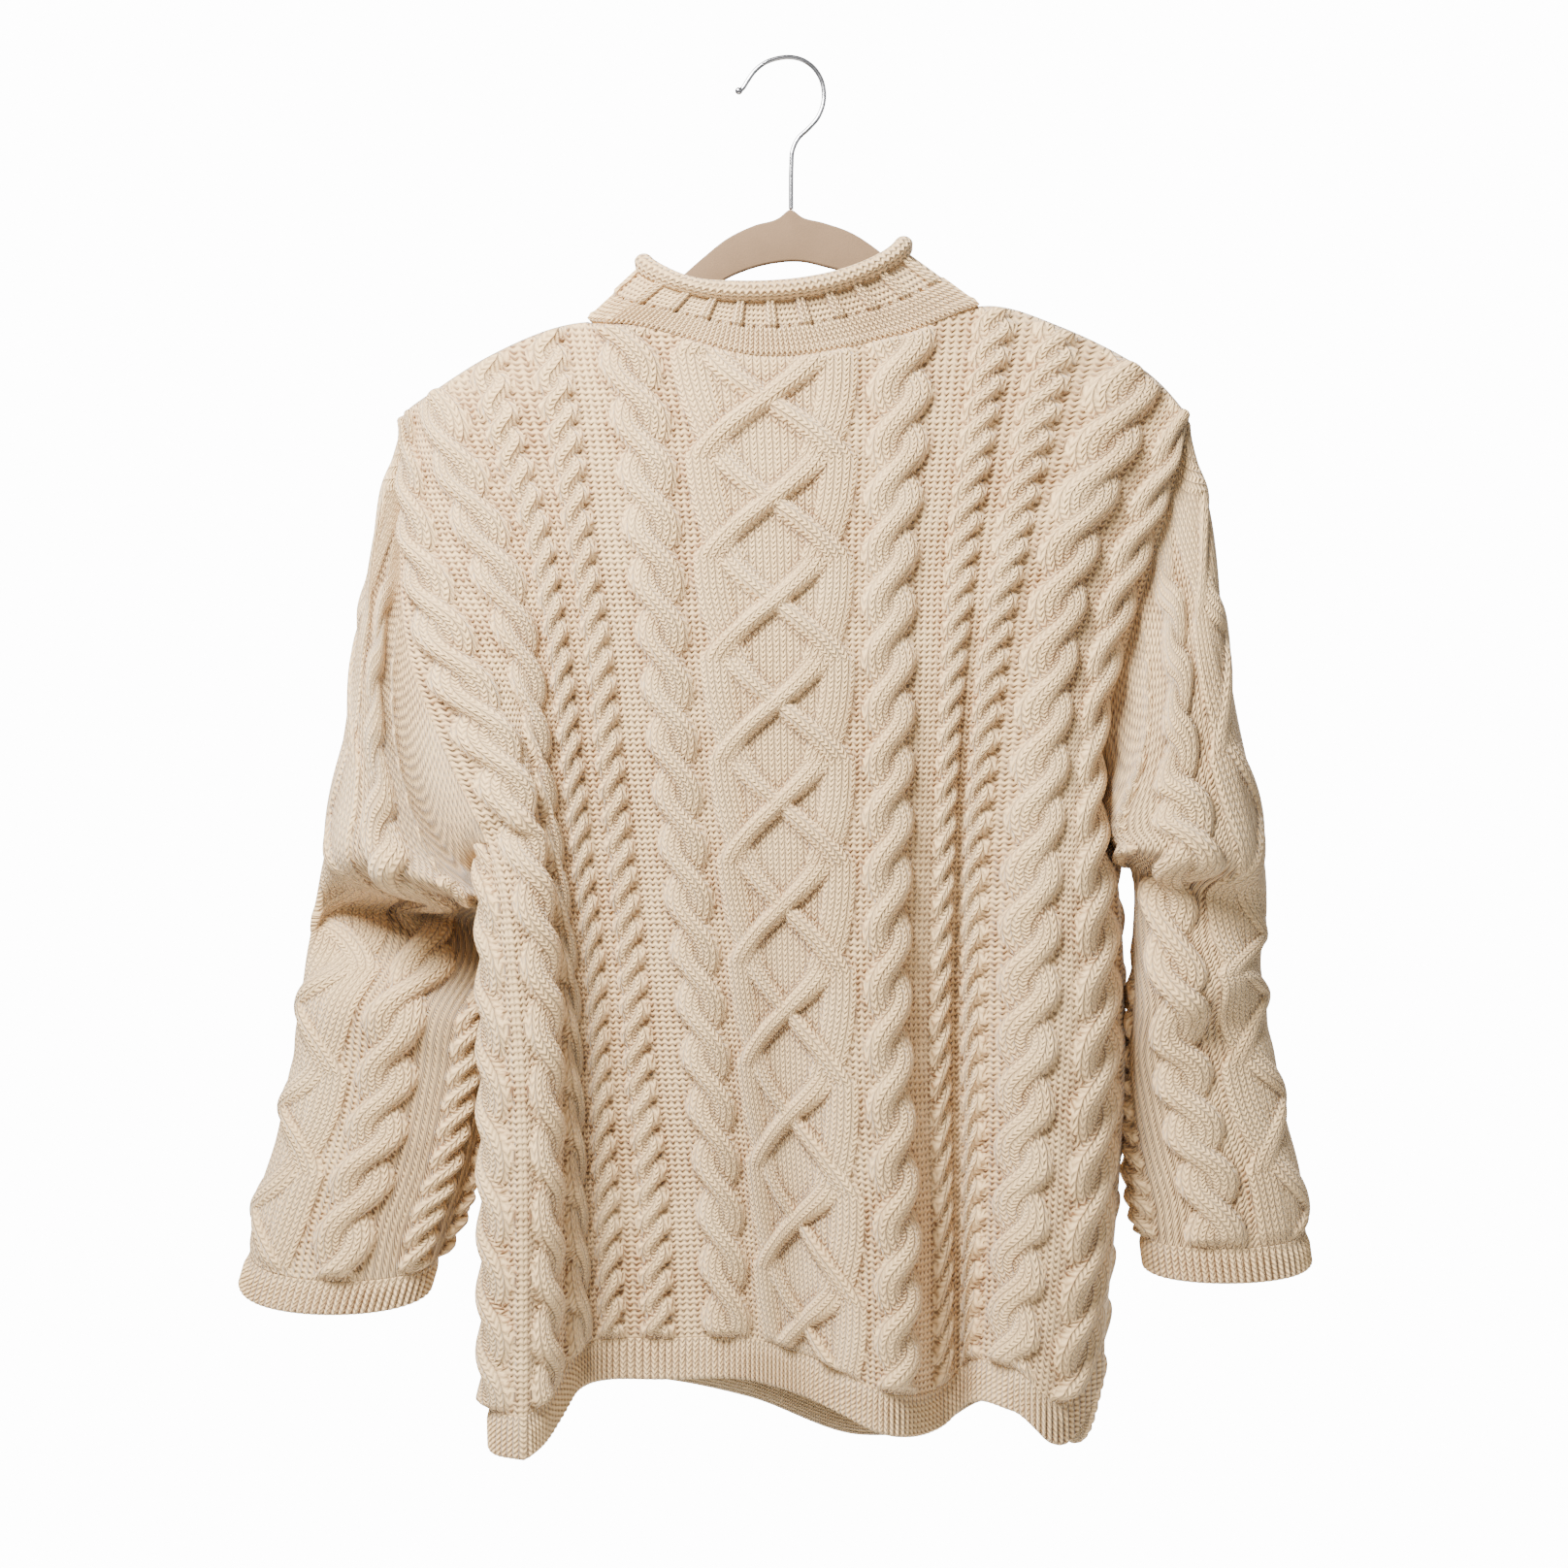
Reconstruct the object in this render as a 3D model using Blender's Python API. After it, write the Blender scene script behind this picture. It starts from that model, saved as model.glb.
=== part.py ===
"""Cable-knit sweater hanging on a flat flocked hanger, built from its cut and sewn pieces.

Drops are measured down from the inner top of the hook, where it sits on a rod. The back panel
faces -Y. Each knitted piece is a wall with a plain inner face; its cables are raised outside.
"""
import math

import bpy
import numpy as np

MM = 0.001
WALL = 3.0
# The plain inner face keeps one grid column in this many, and one in RING_EVERY round a sleeve
INNER_EVERY = 4
RING_EVERY = 3
SEAM_GAP = 0.3
VIEW_DISTANCE = 1800.0
VIEW_DROP = 448.0
VIEW_ACROSS = -4.0

# Flat layout of a panel, across from its middle
CABLE_1 = 181.0
CABLE_2 = 228.0
CABLE_INNER = 73.0
ROPE_INNER = 119.0
ROPE_OUTER = 147.0
PANEL_HALF = 252.0
LINES = np.array([-PANEL_HALF, -CABLE_2, -CABLE_1, -ROPE_OUTER, -ROPE_INNER, -CABLE_INNER, 0.0,
                  CABLE_INNER, ROPE_INNER, ROPE_OUTER, CABLE_1, CABLE_2, PANEL_HALF])

# Knit relief
CABLE_HALF = 19.0
CABLE_REPEAT = 32.8
CABLE_RISE = 5.5
ROPE_HALF = 10.5
ROPE_REPEAT = 16.8
ROPE_RISE = 4.5
LATTICE_REPEAT = 62.4
LATTICE_START = 184.0
LATTICE_INNER = 27.0
LATTICE_OUTER = 38.0
LATTICE_CORD = 8.5
LATTICE_RISE = 4.0
LATTICE_BASE = 1.8
# Width over which the relief fades at a side seam and at a sleeve's seam
SIDE_FADE = 4.0
SLEEVE_FADE = 24.0

# Rows of the panels
# Half a cable's repeat, so that each row meets one strand at its highest
ROW_STEP = 16.4
ROW_FIRST = 254.2
RIB_TOP = 794.0
RIB_TALL = 24.0
RIB_GAP = 0.8
# Share of a rib band's height, and how far it stands out there
RIB_PROFILE = ((0.0, 0.0), (0.45, 1.1), (1.0, 1.1))
UNDERARM_LEFT = ROW_FIRST + 14 * ROW_STEP
UNDERARM_RIGHT = ROW_FIRST + 11 * ROW_STEP
SAG_FROM = 443.0
# Length above an underarm over which the two panels' sides come together
UNDERARM_BLEND = 18.0

# Each row: drop, then one value for each line from the left edge to the right edge
BACK_ACROSS = (
    (167, -247, -244, -230, -193, -151, -104, -17, 68, 125, 165, 224, 252, 258),
    (233, -239, -235, -214, -176, -140, -91, -14, 67, 115, 149, 199, 237, 245),
    (299, -241, -230, -188, -155, -130, -84, -11, 62, 106, 136, 175, 212, 227),
    (365, -236, -209, -166, -145, -119, -78, -9, 61, 101, 125, 164, 193, 207),
    (431, -212, -177, -158, -137, -112, -71, -8, 61, 97, 118, 159, 184, 191),
    (497, -181, -160, -149, -130, -104, -64, -5, 60, 94, 113, 154, 185, 200),
    (563, -171, -153, -141, -122, -98, -56, -3, 60, 92, 112, 151, 188, 205),
    (629, -166, -152, -137, -119, -93, -49, -1, 62, 92, 113, 148, 186, 206),
    (695, -165, -152, -135, -116, -86, -43, 4, 66, 93, 113, 145, 183, 202),
    (793, -165, -153, -132, -112, -81, -37, 11, 66, 93, 112, 138, 173, 193),
)
BACK_DEPTH = (
    (167, -1, -1, -3, -6, -9, -14, -20, -14, -8, -5, -2, -1, -1),
    (233, -2, -8, -18, -22, -24, -27, -30, -27, -24, -21, -16, -6, -2),
    (299, -8, -24, -34, -35, -35, -37, -39, -37, -34, -32, -29, -15, -6),
    (365, -30, -46, -46, -41, -39, -42, -45, -43, -38, -37, -39, -27, -12),
    (431, -50, -60, -50, -41, -39, -43, -47, -47, -37, -35, -45, -38, -18),
    (497, -66, -66, -43, -34, -35, -43, -49, -51, -35, -31, -49, -42, -10),
    (563, -76, -68, -37, -30, -33, -44, -50, -55, -33, -28, -51, -41, -6),
    (629, -82, -72, -35, -28, -31, -43, -47, -59, -31, -27, -55, -45, -6),
    (695, -88, -74, -35, -28, -29, -40, -43, -63, -29, -26, -59, -51, -8),
    (793, -93, -77, -35, -27, -27, -35, -41, -70, -29, -26, -66, -58, -12),
)
FRONT_ACROSS = (
    (167, -247, -244, -230, -193, -151, -104, -17, 68, 125, 165, 224, 252, 258),
    (233, -239, -235, -214, -176, -140, -91, -14, 67, 115, 149, 199, 237, 245),
    (299, -241, -228, -189, -159, -131, -85, -11, 63, 107, 137, 176, 213, 227),
    (365, -236, -219, -180, -152, -125, -80, -9, 62, 105, 133, 166, 196, 207),
    (431, -212, -197, -171, -145, -122, -77, -9, 61, 103, 130, 164, 189, 191),
    (497, -181, -187, -168, -146, -124, -83, -15, 56, 100, 128, 163, 193, 200),
    (563, -171, -184, -166, -146, -124, -85, -17, 53, 98, 127, 161, 195, 205),
    (629, -166, -183, -166, -147, -125, -86, -20, 51, 97, 125, 159, 194, 206),
    (695, -165, -183, -166, -148, -127, -88, -22, 49, 94, 122, 154, 190, 202),
    (793, -165, -183, -168, -154, -135, -94, -27, 45, 91, 118, 148, 182, 193),
)
FRONT_DEPTH = (
    (167, 1, 1, 3, 6, 9, 14, 20, 14, 8, 5, 2, 1, 1),
    (233, 2, 8, 16, 20, 22, 26, 30, 26, 23, 20, 15, 6, 2),
    (299, 12, 22, 30, 31, 31, 34, 38, 34, 31, 29, 26, 16, 4),
    (365, 14, 30, 38, 38, 36, 38, 42, 38, 34, 33, 31, 22, 4),
    (431, 0, 22, 38, 40, 38, 40, 44, 40, 36, 34, 32, 20, -6),
    (497, -66, -48, -8, 14, 30, 38, 42, 42, 36, 34, 32, 18, -10),
    (563, -76, -58, -18, 6, 26, 34, 40, 42, 34, 32, 30, 14, -6),
    (629, -82, -64, -24, 2, 24, 32, 40, 42, 32, 30, 28, 12, -6),
    (695, -88, -70, -30, -4, 18, 28, 38, 42, 30, 28, 26, 10, -8),
    (793, -93, -75, -36, -10, 12, 24, 36, 42, 28, 26, 24, 6, -12),
)
# Drop of the panels' top edge and sag of the hem at each line
TOP_DROP = (224, 219, 207, 186, 169, 164, 183, 170, 154, 166, 191, 217, 227)
HEM_SAG = (46, 21, 2, -3, -3, -4, 8, 32, 26, 11, 16, 33, -4)
FRONT_NECK_DROP = 34.0
# Flat places between which the near panel's sharp crease runs
CREASE_FROM = 115.0
CREASE_TO = 180.0
NECK_LEFT = -91.0
NECK_RIGHT = 109.0

# Sleeve sections: outer edge, inner edge and middle of the near side as across and drop, then the
# depth of the outer edge, of the inner edge, of the near side and of the far side
SLEEVE_LEFT = (
    (-259, 341, -206, 503, -243, 434, -9, -44, -53, 18),
    (-268, 386, -205, 508, -238, 463, -10, -40, -58, 22),
    (-278, 443, -204, 513, -235, 488, -10, -33, -61, 25),
    (-285, 490, -203, 518, -234, 507, -10, -25, -59, 28),
    (-289, 508, -202, 526, -235, 520, -6, -14, -26, 29),
    (-292, 527, -198, 538, -237, 533, -2, -7, -19, 29),
    (-296, 550, -196, 562, -240, 560, 0, -2, -24, 30),
    (-300, 578, -195, 594, -242, 592, 2, 0, -33, 31),
    (-305, 606, -195, 620, -244, 621, 3, 1, -26, 32),
    (-310, 637, -196, 649, -248, 651, 3, 2, -27, 33),
    (-316, 668, -199, 684, -254, 684, 3, 3, -29, 33),
    (-327, 702, -206, 710, -264, 718, 3, 3, -30, 33),
    (-333, 738, -219, 737, -276, 756, 3, 3, -30, 33),
)
SLEEVE_RIGHT = (
    (264, 347, 208, 458, 233, 412, -6, -14, -38, 16),
    (273, 402, 211, 464, 237, 441, -7, -12, -46, 20),
    (285, 456, 213, 470, 241, 470, -8, -11, -53, 25),
    (292, 504, 215, 480, 245, 494, -8, -10, -56, 28),
    (293, 522, 215, 494, 247, 508, -5, -7, -30, 28),
    (291, 538, 216, 510, 250, 526, -2, -4, -26, 28),
    (289, 552, 216, 540, 250, 552, -2, -2, -33, 28),
    (289, 566, 215, 580, 249, 578, 0, 0, -40, 29),
    (292, 584, 214, 612, 249, 604, 2, 1, -28, 30),
    (297, 612, 213, 640, 253, 632, 3, 2, -26, 31),
    (303, 650, 213, 672, 259, 668, 3, 3, -28, 32),
    (313, 688, 214, 704, 265, 704, 3, 3, -29, 32),
    (317, 724, 218, 724, 267, 736, 3, 3, -29, 32),
)
CUFF_TALL = 20.0
# Gaps from a sleeve's rim to the panels, for the left side (-1) and the right side (1): the
# armpit's over ARMPIT_REACH of the seam, the shoulder tip's, and the whole armhole's
ARMPIT_GAP = {-1: 13.0, 1: 6.0}
ARMPIT_REACH = 75.0
SHOULDER_GAP = 1.6
ARMHOLE_GAP = {-1: 2.0, 1: 0.4}
SLEEVE_ROWS = 24
# Rings blended from the armhole to the first section, and inner columns kept by the left seam
BLENDED = 4
SEAM_COLUMNS = 9
# How far the sleeve swells out just below its seam
SEAM_SWELL = 4.0
# Share of the ring's own plane in the wall's directions, and of the panel's rim in the first ring
STEADY = 0.7
RIM_SHARE = {-1: 0.6, 1: 8.0}

# Collar: the ring below its roll, as the left side, near middle, right side and far middle
COLLAR_TOP = (-91.0, 139.0, 150.0, -24.0, 72.0, 121.0, 182.0, 26.0)
NECK_GAP = 1.6
NECK_LIFT = 2.0
COLLAR_RIBS = 26
COLLAR_RIB_RISE = 2.2
COLLAR_ROLL = 6.3
ROLL_RINGS = 40
# How far the roll's middle lies outside the band
ROLL_OUT = 3.6

# Hanger
HANGER_THICK = 5.0
HANGER_SOFT = 1.4
HOOK_WIRE = 1.45
# Radii of the first rings, which make the ball at the hook's end
HOOK_TIP = (1.2, 2.3, 1.9)
HOOK_RINGS = 30
TUBE_SIDES = 7
# Middle line of the hanger's flat band: across, drop of its top edge, drop of its bottom edge
HANGER_BAND = (
    (-226, 221.0, 227.0),
    (-214, 213.0, 223.0),
    (-188, 194.0, 209.0),
    (-150, 176.5, 193.0),
    (-123, 172.0, 188.0),
    (-98, 161.0, 178.0),
    (-74, 140.5, 160.0),
    (-55, 123.5, 146.0),
    (-40, 111.5, 136.0),
    (-23, 103.0, 129.0),
    (-7, 98.0, 125.6),
    (0, 93.0, 125.0),
    (7, 97.5, 125.2),
    (20, 101.0, 128.0),
    (40, 108.5, 134.5),
    (52, 116.5, 142.0),
    (73, 134.5, 154.0),
    (96, 154.5, 170.0),
    (116, 165.0, 179.0),
    (150, 172.0, 186.0),
    (186, 185.0, 198.0),
    (212, 199.0, 209.5),
    (224, 208.0, 214.0),
)
# Middle line of the hook wire: across and drop
HOOK_LINE = (
    (-34.0, 20.5), (-30.0, 18.3), (-26.5, 13.2), (-22.5, 7.6), (-16.0, 2.2), (-8.0, -0.7),
    (0.0, -1.45), (7.5, 0.3), (13.8, 4.6), (18.5, 11.2), (20.6, 19.0), (20.3, 27.0),
    (17.0, 35.8), (11.0, 42.8), (4.8, 48.8), (1.4, 56.0), (0.6, 66.0), (0.4, 80.0), (0.4, 92.6),
)


def spline(knots, values, at):
    """Smooth curve through values at knots; values may have one row for each point asked for."""
    knots = np.asarray(knots, float)
    values = np.broadcast_to(np.asarray(values, float), np.shape(at) + (len(knots),))
    step = np.diff(knots)
    slope = np.diff(values, axis=-1) / step
    inner = (slope[..., :-1] * step[1:] + slope[..., 1:] * step[:-1]) / (step[1:] + step[:-1])
    tangent = np.concatenate([slope[..., :1], inner, slope[..., -1:]], axis=-1)
    k = np.clip(np.searchsorted(knots, at, side="right") - 1, 0, len(knots) - 2)
    width = step[k]
    t = (at - knots[k]) / width
    t = np.clip(t, -0.4, 1.4)
    pick = lambda a, j: np.take_along_axis(a, j[..., None], axis=-1)[..., 0]
    v0 = pick(values, k)
    v1 = pick(values, k + 1)
    m0 = pick(tangent, k) * width
    m1 = pick(tangent, k + 1) * width
    return (v0 * (2 * t ** 3 - 3 * t ** 2 + 1) + m0 * (t ** 3 - 2 * t ** 2 + t)
            + v1 * (3 * t ** 2 - 2 * t ** 3) + m1 * (t ** 3 - t ** 2))


def table_at(table, across, row):
    """Value of a section table at flat places across and rows down."""
    rows = np.array([line[0] for line in table], float)
    values = np.array([line[1:] for line in table], float).T
    lines = np.stack([spline(rows, value, row) for value in values], axis=-1)
    return spline(LINES, lines, across)


def place(across, depth, drop):
    """Point in millimetres for a place as seen from VIEW_DISTANCE in front."""
    near = 1.0 + depth / VIEW_DISTANCE
    x = VIEW_ACROSS + (across - VIEW_ACROSS) * near
    z = -(VIEW_DROP + (drop - VIEW_DROP) * near)
    return np.stack(np.broadcast_arrays(x, depth, z), axis=-1)


def unit(vectors):
    return vectors / np.maximum(np.linalg.norm(vectors, axis=-1, keepdims=True), 1e-9)


def ease(t):
    t = np.clip(t, 0.0, 1.0)
    return t * t * (3 - 2 * t)


def strand(offset, half):
    return np.sqrt(np.clip(1 - (offset / half) ** 2, 0, None))


def twist(across, along, half, repeat, lean, rise):
    """Height of two strands that cross; lean +1 crosses down to the right, -1 to the left."""
    thick = half * 0.56
    swing = half - thick
    height = np.zeros(np.broadcast(across, along).shape)
    for turn in (0.0, math.pi):
        angle = math.pi * along / repeat + turn
        side = swing * np.cos(angle)
        over = -lean * np.sin(angle)
        top = strand(across - side, thick) * (rise * (1 + 0.38 * over))
        height = np.maximum(height, top)
    return height


def lattice(across, along):
    """Height of the middle panel: crossed cords between two bands, over a raised base."""
    phase = (along - LATTICE_START) / LATTICE_REPEAT
    t = phase - np.floor(phase)
    reach = LATTICE_INNER + LATTICE_OUTER
    swing = -LATTICE_INNER + reach * (0.5 * ease(t) + 0.5 * t)
    band = LATTICE_OUTER - (LATTICE_OUTER - LATTICE_INNER) * t
    lift = np.sin(np.pi * t) ** 0.6
    over = strand(across + swing, LATTICE_CORD) * (LATTICE_RISE + 3.2 * lift)
    under = strand(across - swing, LATTICE_CORD) * (LATTICE_RISE + 1.4 * lift)
    sides = strand(np.abs(across) - band, LATTICE_CORD * 1.25) * LATTICE_RISE
    base = LATTICE_BASE * ease((band + 3 - np.abs(across)) / 5)
    return np.maximum.reduce([over, under, sides, base])


def knit_height(across, along, mirror=1.0):
    """Relief of the knitting over its purl ground, in millimetres."""
    height = lattice(across, along)
    for centre, lean in ((-CABLE_2, 1), (-CABLE_1, 1), (-CABLE_INNER, 1), (CABLE_INNER, -1),
                         (CABLE_1, -1), (CABLE_2, -1)):
        height = np.maximum(height, twist(across - centre, along, CABLE_HALF, CABLE_REPEAT,
                                          lean * mirror, CABLE_RISE))
    for centre in (-ROPE_OUTER, -ROPE_INNER, ROPE_INNER, ROPE_OUTER):
        height = np.maximum(height, twist(across - centre, along, ROPE_HALF, ROPE_REPEAT,
                                          -mirror, ROPE_RISE))
    return height


def top_row(across, is_front):
    top = spline(LINES, TOP_DROP, across)
    neck = neck_share(across)
    return top + is_front * FRONT_NECK_DROP * neck ** 2


def neck_share(across):
    """1 in the middle of the neckline, 0 on the shoulders."""
    middle = (NECK_LEFT + NECK_RIGHT) / 2
    half = (NECK_RIGHT - NECK_LEFT) / 2
    return np.clip(1 - ((across - middle) / half) ** 2, 0, 1) ** 0.5


def panel_point(across, row, is_front):
    """Middle of the wall of a body panel at a flat place across and a row down."""
    spread = FRONT_ACROSS if is_front else BACK_ACROSS
    depths = FRONT_DEPTH if is_front else BACK_DEPTH
    far = 1.0 if is_front else -1.0
    x = table_at(spread, across, row)
    y = table_at(depths, across, row)
    edge = np.sign(across) * PANEL_HALF
    underarm = np.where(across < 0, UNDERARM_LEFT, UNDERARM_RIGHT)
    by_side = ease((np.abs(across) - CABLE_1) / (PANEL_HALF - CABLE_1))
    joined = by_side * ease((row - underarm + UNDERARM_BLEND) / UNDERARM_BLEND)
    other_spread = BACK_ACROSS if is_front else FRONT_ACROSS
    other_depths = BACK_DEPTH if is_front else FRONT_DEPTH
    x = x + joined * (table_at(other_spread, edge, row) - table_at(spread, edge, row)) / 2
    y = y + joined * (table_at(other_depths, edge, row) - table_at(depths, edge, row)) / 2
    below = row - top_row(across, is_front)
    on_arm = np.clip(1 - 2.2 * neck_share(across), 0, 1)
    bend = 1 - np.exp(-np.clip(below, 0, None) / 7.0)
    over_arm = far * 7.5 * bend + (y - far * 7.5) * ease(below / 40.0)
    meet = on_arm * ease((60 - below) / 60)
    y = y + (over_arm - y) * meet
    y = np.where(meet > 0, y + far * SEAM_GAP * 0.5 * meet, y)
    sag = spline(LINES, HEM_SAG, across)
    fall = ease((row - SAG_FROM) / (RIB_TOP - SAG_FROM))
    return place(x, y, row + sag * fall)


def facing(point, across, row, flip):
    """Unit outward directions of a surface given by point(across, row)."""
    d = 0.5
    a = point(across + d, row) - point(across - d, row)
    b = point(across, row + d) - point(across, row - d)
    return unit(np.cross(a, b) * flip)


def panel_out(across, row, is_front):
    """Unit directions out of a body panel."""
    point = lambda a, r: panel_point(a, r, is_front)
    flip = 1.0 if is_front else -1.0
    return facing(point, across, row, flip)


def shared_out(across, row):
    """Direction that both panels' rims share where they are sewn together."""
    return unit(panel_out(across, row, 0) + panel_out(across, row, 1))


def wall_out(across, rows, is_front):
    """Directions of a panel's grid, with the rims' own ones at the shoulder and side seams."""
    out = panel_out(across, rows, is_front)
    on_arm = (neck_share(across[0]) == 0)[:, None]
    out[0] = np.where(on_arm, shared_out(across[0], rows[0]), out[0])
    for edge, underarm in ((0, UNDERARM_LEFT), (-1, UNDERARM_RIGHT)):
        sewn = (rows[:, edge] >= underarm)[:, None]
        out[:, edge] = np.where(sewn, shared_out(across[:, edge], rows[:, edge]), out[:, edge])
    return out


def kept(count, every, always=()):
    """Grid lines that the plain inner face keeps."""
    lines = set(range(0, count, every)) | {0, count - 1} | set(always)
    return sorted(lines)


def shell(outer, inner, closed, cols_kept):
    """Vertices and triangles of a wall: a fine outer grid and a plain inner one, joined at rims.

    Grids are rows by columns. A closed wall runs round in its columns. The inner face keeps only
    some columns between its first and last rows.
    """
    rows, cols = outer.shape[:2]
    count = rows * cols
    inner_id = {}
    extra = []
    for i in range(rows):
        for j in (range(cols) if i in (0, rows - 1) else cols_kept):
            inner_id[i, j] = count + len(extra)
            extra.append(inner[i, j])
    verts = np.concatenate([outer.reshape(-1, 3), np.array(extra)])
    faces = []

    def split(a, b, c, d):
        """Quad a b c d, cut along the diagonal that keeps its ridge."""
        pa, pb, pc, pd = verts[[a, b, c, d]]
        if np.cross(pb - pa, pc - pa) @ (pd - pa) > 0:
            faces.append((a, b, c))
            faces.append((a, c, d))
        else:
            faces.append((a, b, d))
            faces.append((b, c, d))

    def fan(fine, a, b, turn):
        """Joins a fine row of points to the edge a-b of a coarser one."""
        half = (len(fine) - 1) // 2
        tri = [(p, q, a) for p, q in zip(fine[:half], fine[1:half + 1])]
        tri.append((fine[half], b, a))
        tri += [(p, q, b) for p, q in zip(fine[half:-1], fine[half + 1:])]
        faces.extend([t[::-1] for t in tri] if turn else tri)

    wrap = cols if closed else cols - 1
    for i in range(rows - 1):
        for j in range(wrap):
            k = (j + 1) % cols
            split(i * cols + j, (i + 1) * cols + j, (i + 1) * cols + k, i * cols + k)
    for j in range(wrap):
        k = (j + 1) % cols
        last = (rows - 1) * cols
        faces.append((j, k, inner_id[0, k]))
        faces.append((j, inner_id[0, k], inner_id[0, j]))
        faces.append((last + k, last + j, inner_id[rows - 1, k]))
        faces.append((last + j, inner_id[rows - 1, j], inner_id[rows - 1, k]))
    pairs = list(zip(cols_kept[:-1], cols_kept[1:]))
    if closed:
        pairs.append((cols_kept[-1], cols_kept[0]))
    for j, k in pairs:
        steps = [c % cols for c in range(j, (k if k > j else cols) + 1)]
        if rows == 2:
            for p, q in zip(steps[:-1], steps[1:]):
                split(inner_id[0, p], inner_id[0, q], inner_id[1, q], inner_id[1, p])
            continue
        fan([inner_id[0, c] for c in steps], inner_id[1, j], inner_id[1, k], False)
        below = inner_id[rows - 2, j], inner_id[rows - 2, k]
        fan([inner_id[rows - 1, c] for c in steps], *below, True)
        for i in range(1, rows - 2):
            split(inner_id[i, j], inner_id[i, k], inner_id[i + 1, k], inner_id[i + 1, j])
    if not closed:
        for i in range(rows - 1):
            far = cols - 1
            faces.append((i * cols, inner_id[i, 0], inner_id[i + 1, 0]))
            faces.append((i * cols, inner_id[i + 1, 0], (i + 1) * cols))
            faces.append((i * cols + far, inner_id[i + 1, far], inner_id[i, far]))
            faces.append((i * cols + far, (i + 1) * cols + far, inner_id[i + 1, far]))
    return verts, faces


def material(name, colour, roughness, metallic=0.0):
    mat = bpy.data.materials.new(name)
    mat.use_nodes = True
    shader = mat.node_tree.nodes["Principled BSDF"]
    shader.inputs["Base Color"].default_value = (*colour, 1.0)
    shader.inputs["Roughness"].default_value = roughness
    shader.inputs["Metallic"].default_value = metallic
    return mat


def make(name, verts, faces, mat, smooth=True):
    """Adds a mesh object from millimetre points, its faces turned outward."""
    verts = np.asarray(verts, float)
    tri = verts[np.array([f[:3] for f in faces])]
    volume = np.einsum("ij,ij->i", tri[:, 0], np.cross(tri[:, 1], tri[:, 2])).sum()
    if volume < 0 and all(len(f) == 3 for f in faces):
        faces = [f[::-1] for f in faces]
    mesh = bpy.data.meshes.new(name)
    mesh.from_pydata((verts * MM).tolist(), [], faces)
    mesh.validate()
    mesh.update()
    if smooth:
        mesh.shade_smooth()
    mesh.materials.append(mat)
    obj = bpy.data.objects.new(name, mesh)
    bpy.context.scene.collection.objects.link(obj)
    return obj


def panel_columns():
    """Flat places of the grid's columns: on the strands and edges of the cables."""
    right = [10.0, 27.0, 46.0]
    right += [CABLE_INNER - 7.5, CABLE_INNER + 7.5, CABLE_INNER + CABLE_HALF]
    right += [ROPE_INNER - ROPE_HALF, ROPE_INNER, (ROPE_INNER + ROPE_OUTER) / 2, ROPE_OUTER]
    right += [ROPE_OUTER + ROPE_HALF + 2.0, CABLE_1 - 7.5, CABLE_1 + 7.5]
    right += [(CABLE_1 + CABLE_2) / 2, CABLE_2 - 7.5, CABLE_2 + 7.5, PANEL_HALF]
    right = np.array(right)
    return np.concatenate([-right[::-1], right])


def panel_rows(across, is_front):
    """Rows of each column: close ones over the shoulder, then even ones down to the hem rib."""
    top = top_row(across, is_front)
    first = ROW_FIRST
    close = np.array([0.0, 4.0, 11.0])
    upper = 3
    lower = int((RIB_TOP - first) / ROW_STEP)
    rows = [top + c for c in close]
    rows += [top + close[-1] + (first - top - close[-1]) * k / upper for k in range(1, upper + 1)]
    rows += [np.full_like(top, first + ROW_STEP * k) for k in range(1, lower)]
    last = first + ROW_STEP * (lower - 1)
    rows += [np.full_like(top, (last + RIB_TOP) / 2), np.full_like(top, RIB_TOP)]
    return np.array(rows)


def needs_inner(flat, is_front):
    """Whether the inner face keeps a column: near the sides and along the near panel's folds."""
    bent = CREASE_FROM < flat < CREASE_TO or flat < -CREASE_FROM
    by_neck = 85.0 < abs(flat) < 125.0
    return abs(flat) > CABLE_1 or by_neck or (bent and not is_front)


def inner_columns(columns, is_front):
    bent = [k for k, flat in enumerate(columns) if needs_inner(flat, is_front)]
    return kept(len(columns), INNER_EVERY, bent)


def panel(name, is_front, mat):
    columns = panel_columns()
    rows = panel_rows(columns, is_front)
    across = np.broadcast_to(columns, rows.shape)
    out = wall_out(across, rows, is_front)
    middle = panel_point(across, rows, is_front)
    from_edge = PANEL_HALF - np.abs(across)
    by_sleeve = np.clip((from_edge - 6.0) / SLEEVE_FADE, 0, 1)
    fade = np.where(rows < UNDERARM_LEFT, by_sleeve, np.clip(from_edge / SIDE_FADE, 0, 1))
    relief = knit_height(across, rows, -1.0 if is_front else 1.0) * fade
    relief[0] = 0
    relief[-1] = 0
    outer = middle + out * (WALL / 2 + relief[..., None])
    inner = middle - out * (WALL / 2)
    outer, inner = trim_sides(outer, inner)
    verts, faces = shell(outer, inner, False, inner_columns(columns, is_front))
    return make(name, verts, faces, mat)


def trim_sides(outer, inner):
    """Draws a panel's side rims in by half the seam gap."""
    for grid in (outer, inner):
        for edge, near in ((0, 1), (-1, -2)):
            grid[:, edge] += unit(grid[:, near] - grid[:, edge]) * SEAM_GAP / 2
    return outer, inner


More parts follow.
